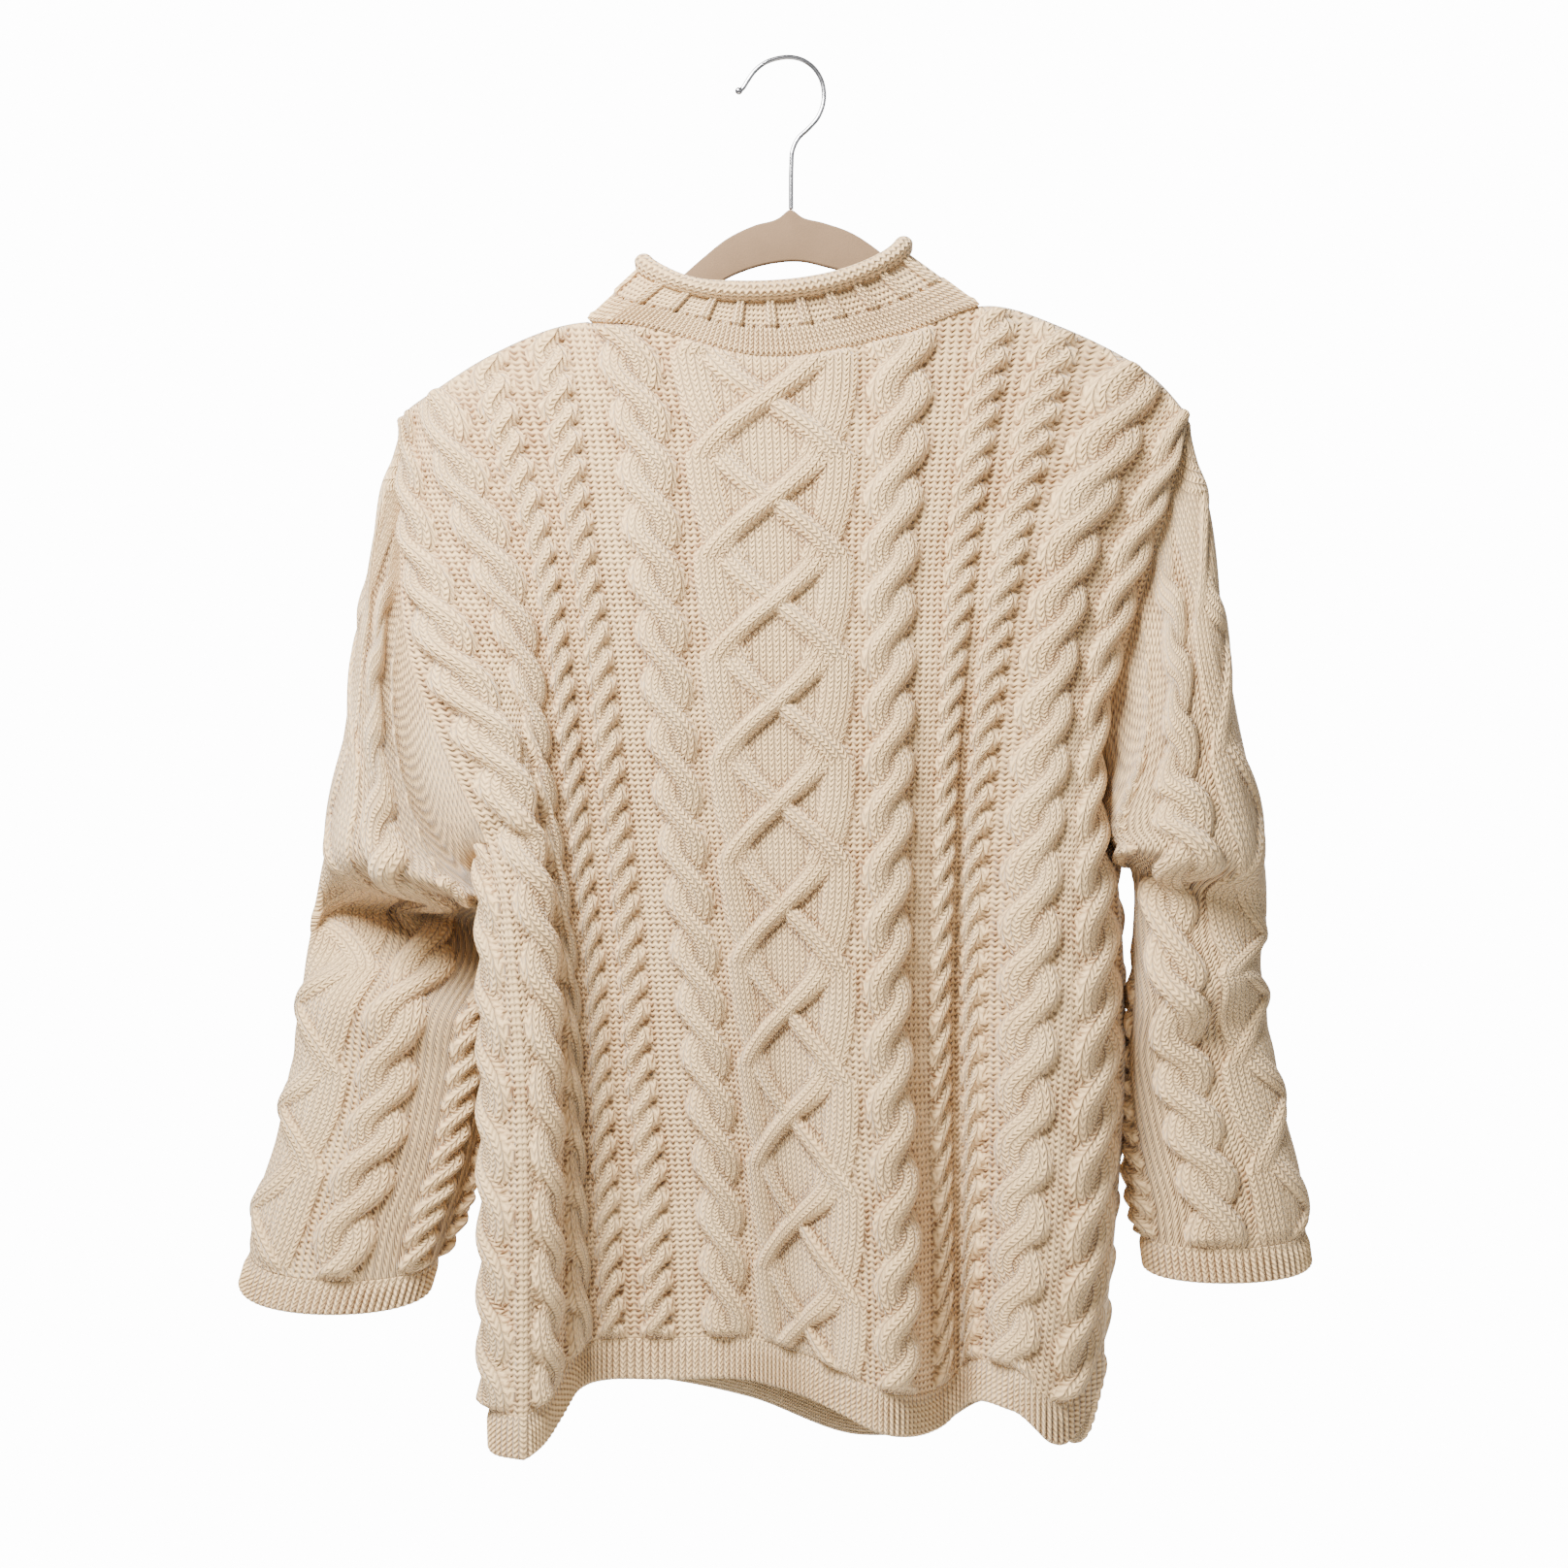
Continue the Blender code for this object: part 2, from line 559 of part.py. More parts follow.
def hem_rib(name, is_front, mat):
    """Ribbed band below a panel, which follows its lower edge."""
    columns = panel_columns()
    edge_row = np.full(columns.shape, RIB_TOP)
    top = panel_point(columns, edge_row, is_front)
    out = panel_out(columns, edge_row, is_front)
    shared = shared_out(columns, edge_row)
    out[0] = shared[0]
    out[-1] = shared[-1]
    fall = np.array([0, 0, -1.0])
    outer = []
    inner = []
    for part, raise_by in RIB_PROFILE:
        middle = top + fall * (RIB_GAP + RIB_TALL * part)
        outer.append(middle + out * (WALL / 2 + raise_by))
        inner.append(middle - out * (WALL / 2))
    outer, inner = trim_sides(np.array(outer), np.array(inner))
    verts, faces = shell(outer, inner, False, inner_columns(columns, is_front))
    return make(name, verts, faces, mat)


def sleeve_ring(section, around):
    """Ring of a sleeve section, its points at even steps along the near half and the far half."""
    ox, oz, ix, iz, mx, mz, yo, yi, yn, yf, far_bow = section
    halves = []
    turn = np.linspace(0, math.pi, 181)
    bow = np.sin(turn) ** 0.8
    part = (1 - np.cos(turn)) / 2
    for depth, share in ((yn, 1.0), (yf, far_bow)):
        x = ox + (ix - ox) * part + (mx - (ox + ix) / 2) * bow * share
        z = oz + (iz - oz) * part + (mz - (oz + iz) / 2) * bow * share
        edge = yo + (yi - yo) * part
        line = place(x, edge + (depth - edge) * bow, z)
        run = np.concatenate([[0], np.cumsum(np.linalg.norm(np.diff(line, axis=0), axis=-1))])
        at = np.linspace(0, run[-1], around // 2 + 1)
        halves.append(np.stack([np.interp(at, run, line[:, k]) for k in range(3)], axis=-1))
    near, far = halves
    return np.concatenate([near, far[::-1][1:-1]])


def sleeve_grid(sections, side, rows):
    """Middle points of a sleeve wall, its flat places and the direction out."""
    table = np.array(sections, float)
    rim, rim_out, pit = armhole(side)
    around = len(rim)
    mx, mz = table[:, 4], table[:, 5]
    # Ring places run evenly down the middle of the near side
    run = np.concatenate([[0], np.cumsum(np.hypot(np.diff(mx), np.diff(mz)) + 5.0)])
    blended = BLENDED
    at = np.linspace(0, run[-1], rows - blended)
    value = [spline(run, column, at) for column in table.T]
    # The far side bows sideways with the near one at the top, and not lower down
    far_bow = np.interp(at, run, np.clip(1 - (np.arange(len(table)) - 2) / 5.0, -0.2, 1))
    rings = [rim]
    for section in zip(*value, far_bow):
        rings.append(sleeve_ring(section, around))
    first = rings[1]
    swell = np.array([side * SEAM_SWELL, 0, 0])
    rings[1:1] = [rim + (first - rim) * k / blended + swell * math.sin(math.pi * k / blended)
                  for k in range(1, blended)]
    grid = np.array(rings)
    chord = np.abs(grid[:, around // 2] - grid[:, 0])
    # Down the sleeve, square to each ring's chord, which steadies the directions in tight folds
    square = np.stack([chord[:, 2] * side, 0 * chord[:, 0], -chord[:, 0]], axis=-1)[:, None]
    steady = STEADY * np.clip((np.arange(rows) - 1) / (blended - 1), 0, 1)[:, None, None]
    down = unit(np.gradient(grid, axis=0)) + steady * unit(square)
    turn = unit(np.roll(grid, -1, axis=1) - np.roll(grid, 1, axis=1))
    out = unit(np.cross(turn, down))
    middle = grid.mean(axis=1, keepdims=True)
    if ((grid - middle) * out).sum() < 0:
        out = -out
    out[0] = unit(out[0] + RIM_SHARE[side] * (1 - pit) * rim_out)
    # The narrow lower end of the armhole points along its own middle line
    end = around // 2
    tip = unit(grid[:blended, end] - (grid[:blended, end - 1] + grid[:blended, end + 1]) / 2)
    share = np.linspace(1, 0, blended)[:, None]
    out[:blended, end] = unit(tip * share + out[:blended, end] * (1 - share))
    step = np.linalg.norm(np.roll(grid, -1, axis=1) - grid, axis=-1)
    round_length = step.sum(axis=1, keepdims=True)
    walked = np.concatenate([np.zeros((rows, 1)), np.cumsum(step, axis=1)[:, :-1]], axis=1)
    flat = np.where(walked > round_length / 2, walked - round_length, walked)
    fall = np.linalg.norm(np.diff(grid, axis=0), axis=-1).mean(axis=1)
    along = np.concatenate([[0], np.cumsum(fall)])[:, None] + 0 * flat
    order = np.arange(rows)[:, None]
    plain = 1 - pit[:, 0] * np.clip(1.8 - order / (blended + 1), 0, 1)
    return grid, out, flat, along, round_length, plain


def armhole(side):
    """Ring on the panels' side edges, a seam gap outside them.

    Gives its points, the panels' directions there and how near each is to the armpit.
    """
    edge = side * PANEL_HALF
    underarm = UNDERARM_LEFT if side < 0 else UNDERARM_RIGHT
    all_rows = panel_rows(np.array([edge, edge]), 0)[:, 0]
    rows = all_rows[all_rows < underarm + 1.0]
    points = []
    outs = []
    pits = []
    for is_front, order in ((0, rows), (1, rows[::-1][1:-1])):
        at = np.full(order.shape, edge)
        p = panel_point(at, order, is_front)
        away = unit(p - panel_point(at - side, order, is_front))
        out = panel_out(at, order, is_front)
        top = (np.abs(order - rows[0]) < 0.1)[:, None]
        pit = ease(1 - (underarm - order) / (ARMPIT_REACH + 35.0 * is_front))
        leave = pit[:, None] * ARMPIT_GAP[side] + top * SHOULDER_GAP + ARMHOLE_GAP[side]
        points.append(p + away * SEAM_GAP / 2 + leave * np.array([side, 0, -0.3]))
        outs.append(np.where(top, shared_out(at, order), out))
        pits.append(pit)
    return np.concatenate(points), np.concatenate(outs), np.concatenate(pits)[:, None]


def sleeve(name, sections, side, mat):
    grid, out, flat, along, length, plain = sleeve_grid(sections, side, SLEEVE_ROWS)
    fade = np.clip((length / 2 - np.abs(flat)) / 14.0, 0, 1) * np.clip((along - 20) / 50.0, 0, 1)
    relief = knit_height(flat, along) * fade * plain
    relief[0] = 0
    relief[-1] = 0
    outer = grid + out * (WALL / 2 + relief[..., None])
    inner = grid - out * (WALL / 2)
    by_seam = range(SEAM_COLUMNS) if side < 0 else ()
    cols = sorted(set(range(0, grid.shape[1], RING_EVERY)) | set(by_seam))
    verts, faces = shell(outer, inner, True, cols)
    return make(name, verts, faces, mat)


def cuff(name, sections, side, mat):
    grid, out, flat, along, length, plain = sleeve_grid(sections, side, SLEEVE_ROWS)
    last = grid[-1]
    fall = unit(grid[-1] - grid[-3])
    outer = []
    inner = []
    for part, raise_by in RIB_PROFILE:
        middle = last + fall * (RIB_GAP + CUFF_TALL * part)
        outer.append(middle + out[-1] * (WALL / 2 + raise_by))
        inner.append(middle - out[-1] * (WALL / 2))
    cols = list(range(0, grid.shape[1], RING_EVERY))
    verts, faces = shell(np.array(outer), np.array(inner), True, cols)
    return make(name, verts, faces, mat)


def neckline(steps):
    """Ring of points on the panels' neck edges, raised by the seam."""
    across = NECK_LEFT + (NECK_RIGHT - NECK_LEFT) * (1 - np.cos(steps)) / 2
    near = np.sin(steps)[:, None] > 0
    back = panel_point(across, top_row(across, 0), 0)
    front = panel_point(across, top_row(across, 1), 1)
    side = 1 - np.abs(np.sin(steps))
    ring = np.where(near, back, front)
    ring[:, 2] += NECK_GAP + NECK_LIFT * side ** 2
    return ring


def collar_ring(level, steps):
    """Ring of the neck band at a level from 0 at its seam to 1 below the roll."""
    left_x, left_drop, near_drop, near_depth, right_x, right_drop, far_drop, far_depth = COLLAR_TOP
    bow = np.abs(np.sin(steps))
    half = (1 - np.cos(steps)) / 2
    x = left_x + (right_x - left_x) * half
    drop = left_drop + (right_drop - left_drop) * half
    middle = (left_drop + right_drop) / 2
    is_near = np.sin(steps) > 0
    drop = drop + np.where(is_near, near_drop - middle, far_drop - middle) * bow
    y = np.where(is_near, near_depth, far_depth) * bow
    top = place(x, y, drop)
    base = neckline(steps)
    return base + (top - base) * level


def collar_band(mat):
    count = COLLAR_RIBS * 2
    steps = np.arange(count) / count * 2 * math.pi
    levels = (0.0, 0.42, 0.54, 1.0)
    rings = np.array([collar_ring(level, steps) for level in levels])
    out = ring_out(rings)
    rib = np.where(np.arange(count) % 2 == 0, 0.0, COLLAR_RIB_RISE)
    outer = []
    inner = []
    for ring, direction, level in zip(rings, out, levels):
        raise_by = rib if level > 0.5 else np.full(count, 0.8)
        outer.append(ring + direction * (WALL / 2 + raise_by[:, None]))
        inner.append(ring - direction * (WALL / 2))
    verts, faces = shell(np.array(outer), np.array(inner), True, list(range(0, count, 4)))
    return make("collar_band", verts, faces, mat)


def ring_out(rings):
    turn = np.roll(rings, -1, axis=1) - np.roll(rings, 1, axis=1)
    down = np.gradient(rings, axis=0)
    out = unit(np.cross(turn, down))
    middle = rings.mean(axis=1, keepdims=True)
    return -out if ((rings - middle) * out).sum() < 0 else out


def tube_rings(rings, closed):
    """Closed mesh round rings of points; an open tube gets flat ends."""
    count, around = rings.shape[:2]
    verts = rings.reshape(-1, 3)
    faces = []
    for i in range(count if closed else count - 1):
        k = (i + 1) % count
        for j in range(around):
            m = (j + 1) % around
            faces.append((i * around + j, i * around + m, k * around + m))
            faces.append((i * around + j, k * around + m, k * around + j))
    if not closed:
        for j in range(1, around - 1):
            faces.append((0, j + 1, j))
            base = (count - 1) * around
            faces.append((base, base + j, base + j + 1))
    return verts, faces


def collar_roll(mat):
    """Rolled edge: a round bead that sits on the top of the neck band."""
    count = ROLL_RINGS
    steps = np.arange(count) / count * 2 * math.pi
    ring = collar_ring(1.0, steps)
    below = collar_ring(0.9, steps)
    up = unit(ring - below)
    out = ring_out(np.array([ring, below]))[0]
    centre = ring + up * (COLLAR_ROLL + SEAM_GAP) + out * ROLL_OUT
    profile = np.arange(TUBE_SIDES) / TUBE_SIDES * 2 * math.pi
    rings = np.array([c + COLLAR_ROLL * (np.cos(profile)[:, None] * o + np.sin(profile)[:, None] * u)
                      for c, o, u in zip(centre, out, up)])
    verts, faces = tube_rings(rings, True)
    return make("collar_roll", verts, faces, mat)


def hanger_body(mat):
    band = np.array(HANGER_BAND, float)
    half = HANGER_THICK / 2
    rings = []
    for x, top, bottom in band:
        soft = min(HANGER_SOFT, (bottom - top) * 0.2)
        profile = ((-half + soft, top), (half - soft, top), (half, top + soft),
                   (half, bottom - soft), (half - soft, bottom), (-half + soft, bottom),
                   (-half, bottom - soft), (-half, top + soft))
        rings.append([(x, y, -z) for y, z in profile])
    verts, faces = tube_rings(np.array(rings), False)
    return make("hanger_body", verts, faces, mat)


def hanger_hook(mat):
    line = np.array(HOOK_LINE, float)
    run = np.concatenate([[0], np.cumsum(np.hypot(*np.diff(line, axis=0).T))])
    at = np.linspace(0, run[-1], HOOK_RINGS)
    x = spline(run, line[:, 0], at)
    z = -spline(run, line[:, 1], at)
    tangent = unit(np.stack([np.gradient(x), 0 * x, np.gradient(z)], axis=-1))
    side = np.array([0, 1.0, 0])
    profile = np.arange(TUBE_SIDES) / TUBE_SIDES * 2 * math.pi
    rings = []
    for order, (px, pz, t) in enumerate(zip(x, z, tangent)):
        across = np.cross(side, t)
        radius = HOOK_WIRE
        if order < len(HOOK_TIP):
            radius = HOOK_TIP[order]
        rings.append(np.array([px, 0, pz]) + radius * (np.cos(profile)[:, None] * side
                                                       + np.sin(profile)[:, None] * across))
    verts, faces = tube_rings(np.array(rings), False)
    return make("hanger_hook", verts, faces, mat)


def main():
    for obj in list(bpy.data.objects):
        bpy.data.objects.remove(obj, do_unlink=True)
    yarn = (0.79, 0.66, 0.48)
    knit = lambda name: material(name, yarn, 0.9)
    panel("back", 0, knit("back_knit"))
    panel("front", 1, knit("front_knit"))
    hem_rib("hem_rib_back", 0, knit("hem_rib_back_knit"))
    hem_rib("hem_rib_front", 1, knit("hem_rib_front_knit"))
    sleeve("sleeve_left", SLEEVE_LEFT, -1, knit("sleeve_left_knit"))
    sleeve("sleeve_right", SLEEVE_RIGHT, 1, knit("sleeve_right_knit"))
    cuff("cuff_left", SLEEVE_LEFT, -1, knit("cuff_left_knit"))
    cuff("cuff_right", SLEEVE_RIGHT, 1, knit("cuff_right_knit"))
    collar_band(knit("collar_band_knit"))
    collar_roll(knit("collar_roll_knit"))
    hanger_body(material("hanger_flock", (0.66, 0.50, 0.37), 0.95))
    hanger_hook(material("hanger_steel", (0.62, 0.62, 0.64), 0.22, 1.0))


main()
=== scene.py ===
"""Cable-knit sweater on a flocked hanger: the knitted pieces, the hanger and the studio.

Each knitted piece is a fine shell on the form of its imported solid. Its cables and ribs stand out
of the outer face, and its stitches are a procedural surface that follows the yarn. Lengths in
the tables are millimetres; drops are measured down from the inner top of the hook.
"""
import math

import bpy
import numpy as np
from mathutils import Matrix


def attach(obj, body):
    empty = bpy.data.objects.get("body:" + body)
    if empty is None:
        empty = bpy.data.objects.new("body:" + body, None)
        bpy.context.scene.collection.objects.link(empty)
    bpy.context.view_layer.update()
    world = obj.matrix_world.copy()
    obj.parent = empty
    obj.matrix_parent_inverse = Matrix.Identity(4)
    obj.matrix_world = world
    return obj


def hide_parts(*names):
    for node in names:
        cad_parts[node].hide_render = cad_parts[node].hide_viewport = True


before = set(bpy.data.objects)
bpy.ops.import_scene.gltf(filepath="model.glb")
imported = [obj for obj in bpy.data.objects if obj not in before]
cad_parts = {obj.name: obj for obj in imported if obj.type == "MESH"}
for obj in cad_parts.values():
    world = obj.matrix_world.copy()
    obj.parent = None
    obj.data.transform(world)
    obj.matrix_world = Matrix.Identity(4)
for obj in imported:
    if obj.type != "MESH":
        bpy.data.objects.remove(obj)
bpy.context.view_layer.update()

bl_info = {
    "name": "Cable-Knit Sweater",
    "version": (1, 0, 0),
    "blender": (4, 5, 0),
    "location": "View3D > Sidebar > Sweater",
    "description": "Builds a cable-knit sweater on a clothes hanger, with its stitches and studio",
    "category": "Object",
}

MM = 0.001
WALL = 3.0
VIEW_DISTANCE = 1800.0
VIEW_DROP = 448.0
VIEW_ACROSS = -4.0

# Flat layout of a panel, across from its middle
CABLE_1 = 181.0
CABLE_2 = 228.0
CABLE_INNER = 73.0
ROPE_INNER = 119.0
ROPE_OUTER = 147.0
PANEL_HALF = 252.0
LINES = np.array([-PANEL_HALF, -CABLE_2, -CABLE_1, -ROPE_OUTER, -ROPE_INNER, -CABLE_INNER, 0.0,
                  CABLE_INNER, ROPE_INNER, ROPE_OUTER, CABLE_1, CABLE_2, PANEL_HALF])

# Knit relief
CABLE_HALF = 19.0
CABLE_REPEAT = 32.8
CABLE_RISE = 6.6
ROPE_HALF = 10.5
ROPE_REPEAT = 16.8
ROPE_RISE = 5.4
LATTICE_REPEAT = 62.4
LATTICE_START = 184.0
LATTICE_INNER = 27.0
LATTICE_OUTER = 39.0
LATTICE_CORD = 10.2
LATTICE_BAND = 11.5
LATTICE_RISE = 4.2
LATTICE_BASE = 1.8
LATTICE_BOW = 3.5

# Rows of the panels, half a cable's repeat apart
ROW_STEP = 16.4
ROW_FIRST = 254.2
RIB_TOP = 794.0
RIB_TALL = 24.0
RIB_GAP = 0.8
UNDERARM_LEFT = ROW_FIRST + 14 * ROW_STEP
UNDERARM_RIGHT = ROW_FIRST + 11 * ROW_STEP
# Row below which the hem's waves begin
SAG_FROM = 443.0
# Length above an underarm over which the two panels' sides come together
UNDERARM_BLEND = 18.0
# Depth of the shoulders' round edge, and the length over which each panel leaves it
SHOULDER_DEEP = 7.5
SHOULDER_BEND = 7.0
SHOULDER_REACH = 40.0
MEET_REACH = 60.0

# Each row: drop, then one value for each line from the left edge to the right edge
BACK_ACROSS = (
    (167, -247, -244, -230, -193, -151, -104, -17, 68, 125, 165, 224, 252, 258),
    (233, -239, -235, -214, -176, -140, -91, -14, 67, 115, 149, 199, 237, 245),
    (299, -241, -230, -188, -155, -130, -84, -11, 62, 106, 136, 175, 212, 227),
    (365, -236, -209, -166, -145, -119, -78, -9, 61, 101, 125, 164, 193, 207),
    (431, -212, -177, -158, -137, -112, -71, -8, 61, 97, 118, 159, 184, 191),
    (497, -181, -160, -149, -130, -104, -64, -5, 60, 94, 113, 154, 185, 200),
    (563, -171, -153, -141, -122, -98, -56, -3, 60, 92, 112, 151, 188, 205),
    (629, -166, -152, -137, -119, -93, -49, -1, 62, 92, 113, 148, 186, 206),
    (695, -165, -152, -135, -116, -86, -43, 4, 66, 93, 113, 145, 183, 202),
    (793, -165, -153, -132, -112, -81, -37, 11, 66, 93, 112, 138, 173, 193),
)
BACK_DEPTH = (
    (167, -1, -1, -3, -6, -9, -14, -20, -14, -8, -5, -2, -1, -1),
    (233, -2, -8, -18, -22, -24, -27, -30, -27, -24, -21, -16, -6, -2),
    (299, -8, -24, -34, -35, -35, -37, -39, -37, -34, -32, -29, -15, -6),
    (365, -30, -46, -46, -41, -39, -42, -45, -43, -38, -37, -39, -27, -12),
    (431, -50, -60, -50, -41, -39, -43, -47, -47, -37, -35, -45, -38, -18),
    (497, -66, -66, -43, -34, -35, -43, -49, -51, -35, -31, -49, -42, -10),
    (563, -76, -68, -37, -30, -33, -44, -50, -55, -33, -28, -51, -41, -6),
    (629, -82, -72, -35, -28, -31, -43, -47, -59, -31, -27, -55, -45, -6),
    (695, -88, -74, -35, -28, -29, -40, -43, -63, -29, -26, -59, -51, -8),
    (793, -93, -77, -35, -27, -27, -35, -41, -70, -29, -26, -66, -58, -12),
)
FRONT_ACROSS = (
    (167, -247, -244, -230, -193, -151, -104, -17, 68, 125, 165, 224, 252, 258),
    (233, -239, -235, -214, -176, -140, -91, -14, 67, 115, 149, 199, 237, 245),
    (299, -241, -228, -189, -159, -131, -85, -11, 63, 107, 137, 176, 213, 227),
    (365, -236, -219, -180, -152, -125, -80, -9, 62, 105, 133, 166, 196, 207),
    (431, -212, -197, -171, -145, -122, -77, -9, 61, 103, 130, 164, 189, 191),
    (497, -181, -187, -168, -146, -124, -83, -15, 56, 100, 128, 163, 193, 200),
    (563, -171, -184, -166, -146, -124, -85, -17, 53, 98, 127, 161, 195, 205),
    (629, -166, -183, -166, -147, -125, -86, -20, 51, 97, 125, 159, 194, 206),
    (695, -165, -183, -166, -148, -127, -88, -22, 49, 94, 122, 154, 190, 202),
    (793, -165, -183, -168, -154, -135, -94, -27, 45, 91, 118, 148, 182, 193),
)
FRONT_DEPTH = (
    (167, 1, 1, 3, 6, 9, 14, 20, 14, 8, 5, 2, 1, 1),
    (233, 2, 8, 16, 20, 22, 26, 30, 26, 23, 20, 15, 6, 2),
    (299, 12, 22, 30, 31, 31, 34, 38, 34, 31, 29, 26, 16, 4),
    (365, 14, 30, 38, 38, 36, 38, 42, 38, 34, 33, 31, 22, 4),
    (431, 0, 22, 38, 40, 38, 40, 44, 40, 36, 34, 32, 20, -6),
    (497, -66, -48, -8, 14, 30, 38, 42, 42, 36, 34, 32, 18, -10),
    (563, -76, -58, -18, 6, 26, 34, 40, 42, 34, 32, 30, 14, -6),
    (629, -82, -64, -24, 2, 24, 32, 40, 42, 32, 30, 28, 12, -6),
    (695, -88, -70, -30, -4, 18, 28, 38, 42, 30, 28, 26, 10, -8),
    (793, -93, -75, -36, -10, 12, 24, 36, 42, 28, 26, 24, 6, -12),
)
# Drop of the panels' top edge and sag of the hem at each line
TOP_DROP = (224, 219, 207, 186, 169, 164, 183, 170, 154, 166, 191, 217, 227)
BACK_SAG = (46, 36, 4, -3, -3, -4, 8, 32, 26, 11, 16, 33, -4)
FRONT_SAG = (46, 42, 14, -3, -3, -4, 8, 32, 26, 11, 16, 33, -4)
FRONT_NECK_DROP = 34.0
NECK_LEFT = -91.0
NECK_RIGHT = 109.0

# Sleeve sections: outer edge, inner edge and middle of the near side as across and drop, then the
# depth of the outer edge, of the inner edge, of the near side and of the far side
SLEEVE_LEFT = (
    (-259, 341, -190, 500, -243, 434, -9, -30, -53, 18),
    (-268, 386, -188, 506, -238, 463, -10, -22, -58, 22),
    (-278, 443, -187, 512, -235, 490, -10, -15, -62, 25),
    (-285, 488, -186, 518, -234, 509, -10, -9, -64, 28),
    (-288, 502, -186, 523, -235, 512, -8, -6, -40, 28),
    (-291, 519, -186, 532, -236, 518, -4, -3, 4, 29),
    (-296, 546, -186, 558, -240, 548, 0, 0, 0, 30),
    (-300, 578, -186, 594, -242, 590, 2, 1, -28, 31),
    (-305, 606, -188, 620, -244, 621, 3, 2, -26, 32),
    (-310, 637, -192, 649, -248, 651, 3, 2, -27, 33),
    (-316, 668, -198, 684, -254, 684, 3, 3, -29, 33),
    (-327, 702, -206, 710, -264, 718, 3, 3, -30, 33),
    (-333, 738, -219, 737, -276, 756, 3, 3, -30, 33),
)
SLEEVE_RIGHT = (
    (264, 347, 193, 461, 233, 412, -6, -20, -38, 16),
    (273, 402, 195, 470, 237, 441, -7, -18, -46, 20),
    (285, 456, 198, 480, 241, 470, -8, -14, -53, 25),
    (292, 504, 203, 489, 245, 494, -8, -10, -56, 28),
    (293, 522, 211, 498, 247, 508, -5, -7, -30, 28),
    (291, 538, 214, 512, 250, 526, -2, -4, -26, 28),
    (289, 552, 213, 540, 250, 552, -2, -2, -33, 28),
    (289, 566, 212, 580, 249, 578, 0, 0, -40, 29),
    (292, 584, 210, 612, 249, 604, 2, 1, -28, 30),
    (297, 612, 210, 640, 253, 632, 3, 2, -26, 31),
    (303, 650, 211, 672, 259, 668, 3, 3, -28, 32),
    (313, 688, 213, 704, 265, 704, 3, 3, -29, 32),
    (317, 724, 218, 724, 267, 736, 3, 3, -29, 32),
)
CUFF_TALL = 20.0
# Length of an armhole's seam that counts as its armpit, on the near panel and more on the far one
ARMPIT_REACH = 75.0
ARMPIT_FAR = 35.0
# How far the sleeve swells out just below its seam
SEAM_SWELL = 4.0
# Share of the ring's own plane in the wall's directions
STEADY = 0.7
# Gap at the armpit, how far the rest of a sleeve's first ring goes under the panels' edges, and
# the share of a sleeve's rings that are blended from the armhole to its first section
SEAM_PIT = 0.6
SEAM_UNDER = 0.4
BLEND_SHARE = 0.15

# Collar: the ring below its roll, as the left side, near middle, right side and far middle
COLLAR_TOP = (-92.0, 132.0, 148.0, -24.0, 72.0, 121.0, 182.0, 26.0)
NECK_GAP = 1.6
NECK_LIFT = 2.0
COLLAR_ROLL = 6.3
# How far the roll's middle lies outside the band, and how far the band reaches into the roll
ROLL_OUT = 3.24
ROLL_SEAT = 1.4

# Hanger
HANGER_THICK = 5.0
HANGER_SOFT = 1.6
HOOK_WIRE = 1.45
HOOK_BALL = 2.3
TUBE_SIDES = 24
# Middle line of the hanger's flat band: across, drop of its top edge, drop of its bottom edge
HANGER_BAND = (
    (-226, 221.0, 227.0),
    (-214, 213.0, 223.0),
    (-188, 194.0, 209.0),
    (-150, 176.5, 193.0),
    (-123, 172.0, 188.0),
    (-98, 161.0, 178.0),
    (-74, 140.5, 160.0),
    (-55, 123.5, 146.0),
    (-40, 111.5, 136.0),
    (-23, 103.0, 129.0),
    (-7, 98.0, 125.6),
    (0, 93.0, 125.0),
    (7, 97.5, 125.2),
    (20, 101.0, 128.0),
    (40, 108.5, 134.5),
    (52, 116.5, 142.0),
    (73, 134.5, 154.0),
    (96, 154.5, 170.0),
    (116, 165.0, 179.0),
    (150, 172.0, 186.0),
    (186, 185.0, 198.0),
    (212, 199.0, 209.5),
    (224, 208.0, 214.0),
)
# Middle line of the hook wire: across and drop
HOOK_LINE = (
    (-34.0, 20.5), (-30.0, 18.3), (-26.5, 13.2), (-22.5, 7.6), (-16.0, 2.2), (-8.0, -0.7),
    (0.0, -1.45), (7.5, 0.3), (13.8, 4.6), (18.5, 11.2), (20.6, 19.0), (20.3, 27.0),
    (17.0, 35.8), (11.0, 42.8), (4.8, 48.8), (1.4, 56.0), (0.6, 66.0), (0.4, 80.0), (0.4, 92.6),
)

# Gap between the two panels at a shoulder seam
SEAM_GAP = 0.3
# A strand's share of its cable's half width, how much higher it lies where it goes over, and how
# much longer its yarn is than the cloth
STRAND_SHARE = 0.56
CROSS_LIFT = 0.42
TWIST_SLACK = 1.12
# Middle of each wide cable, its lean and its shift along the cloth
WIDE_CABLES = ((-CABLE_2, 1, 6.2), (-CABLE_1, 1, 6.2), (-CABLE_INNER, 1, 6.2),
               (CABLE_INNER, -1, -10.0), (CABLE_1, -1, -10.0), (CABLE_2, -1, -10.0))
STITCH_WIDE = 4.4
STITCH_TALL = 3.2
PURL_TALL = 3.6
STITCH_DEEP = 1.7
FLOCK_DEEP = 0.3
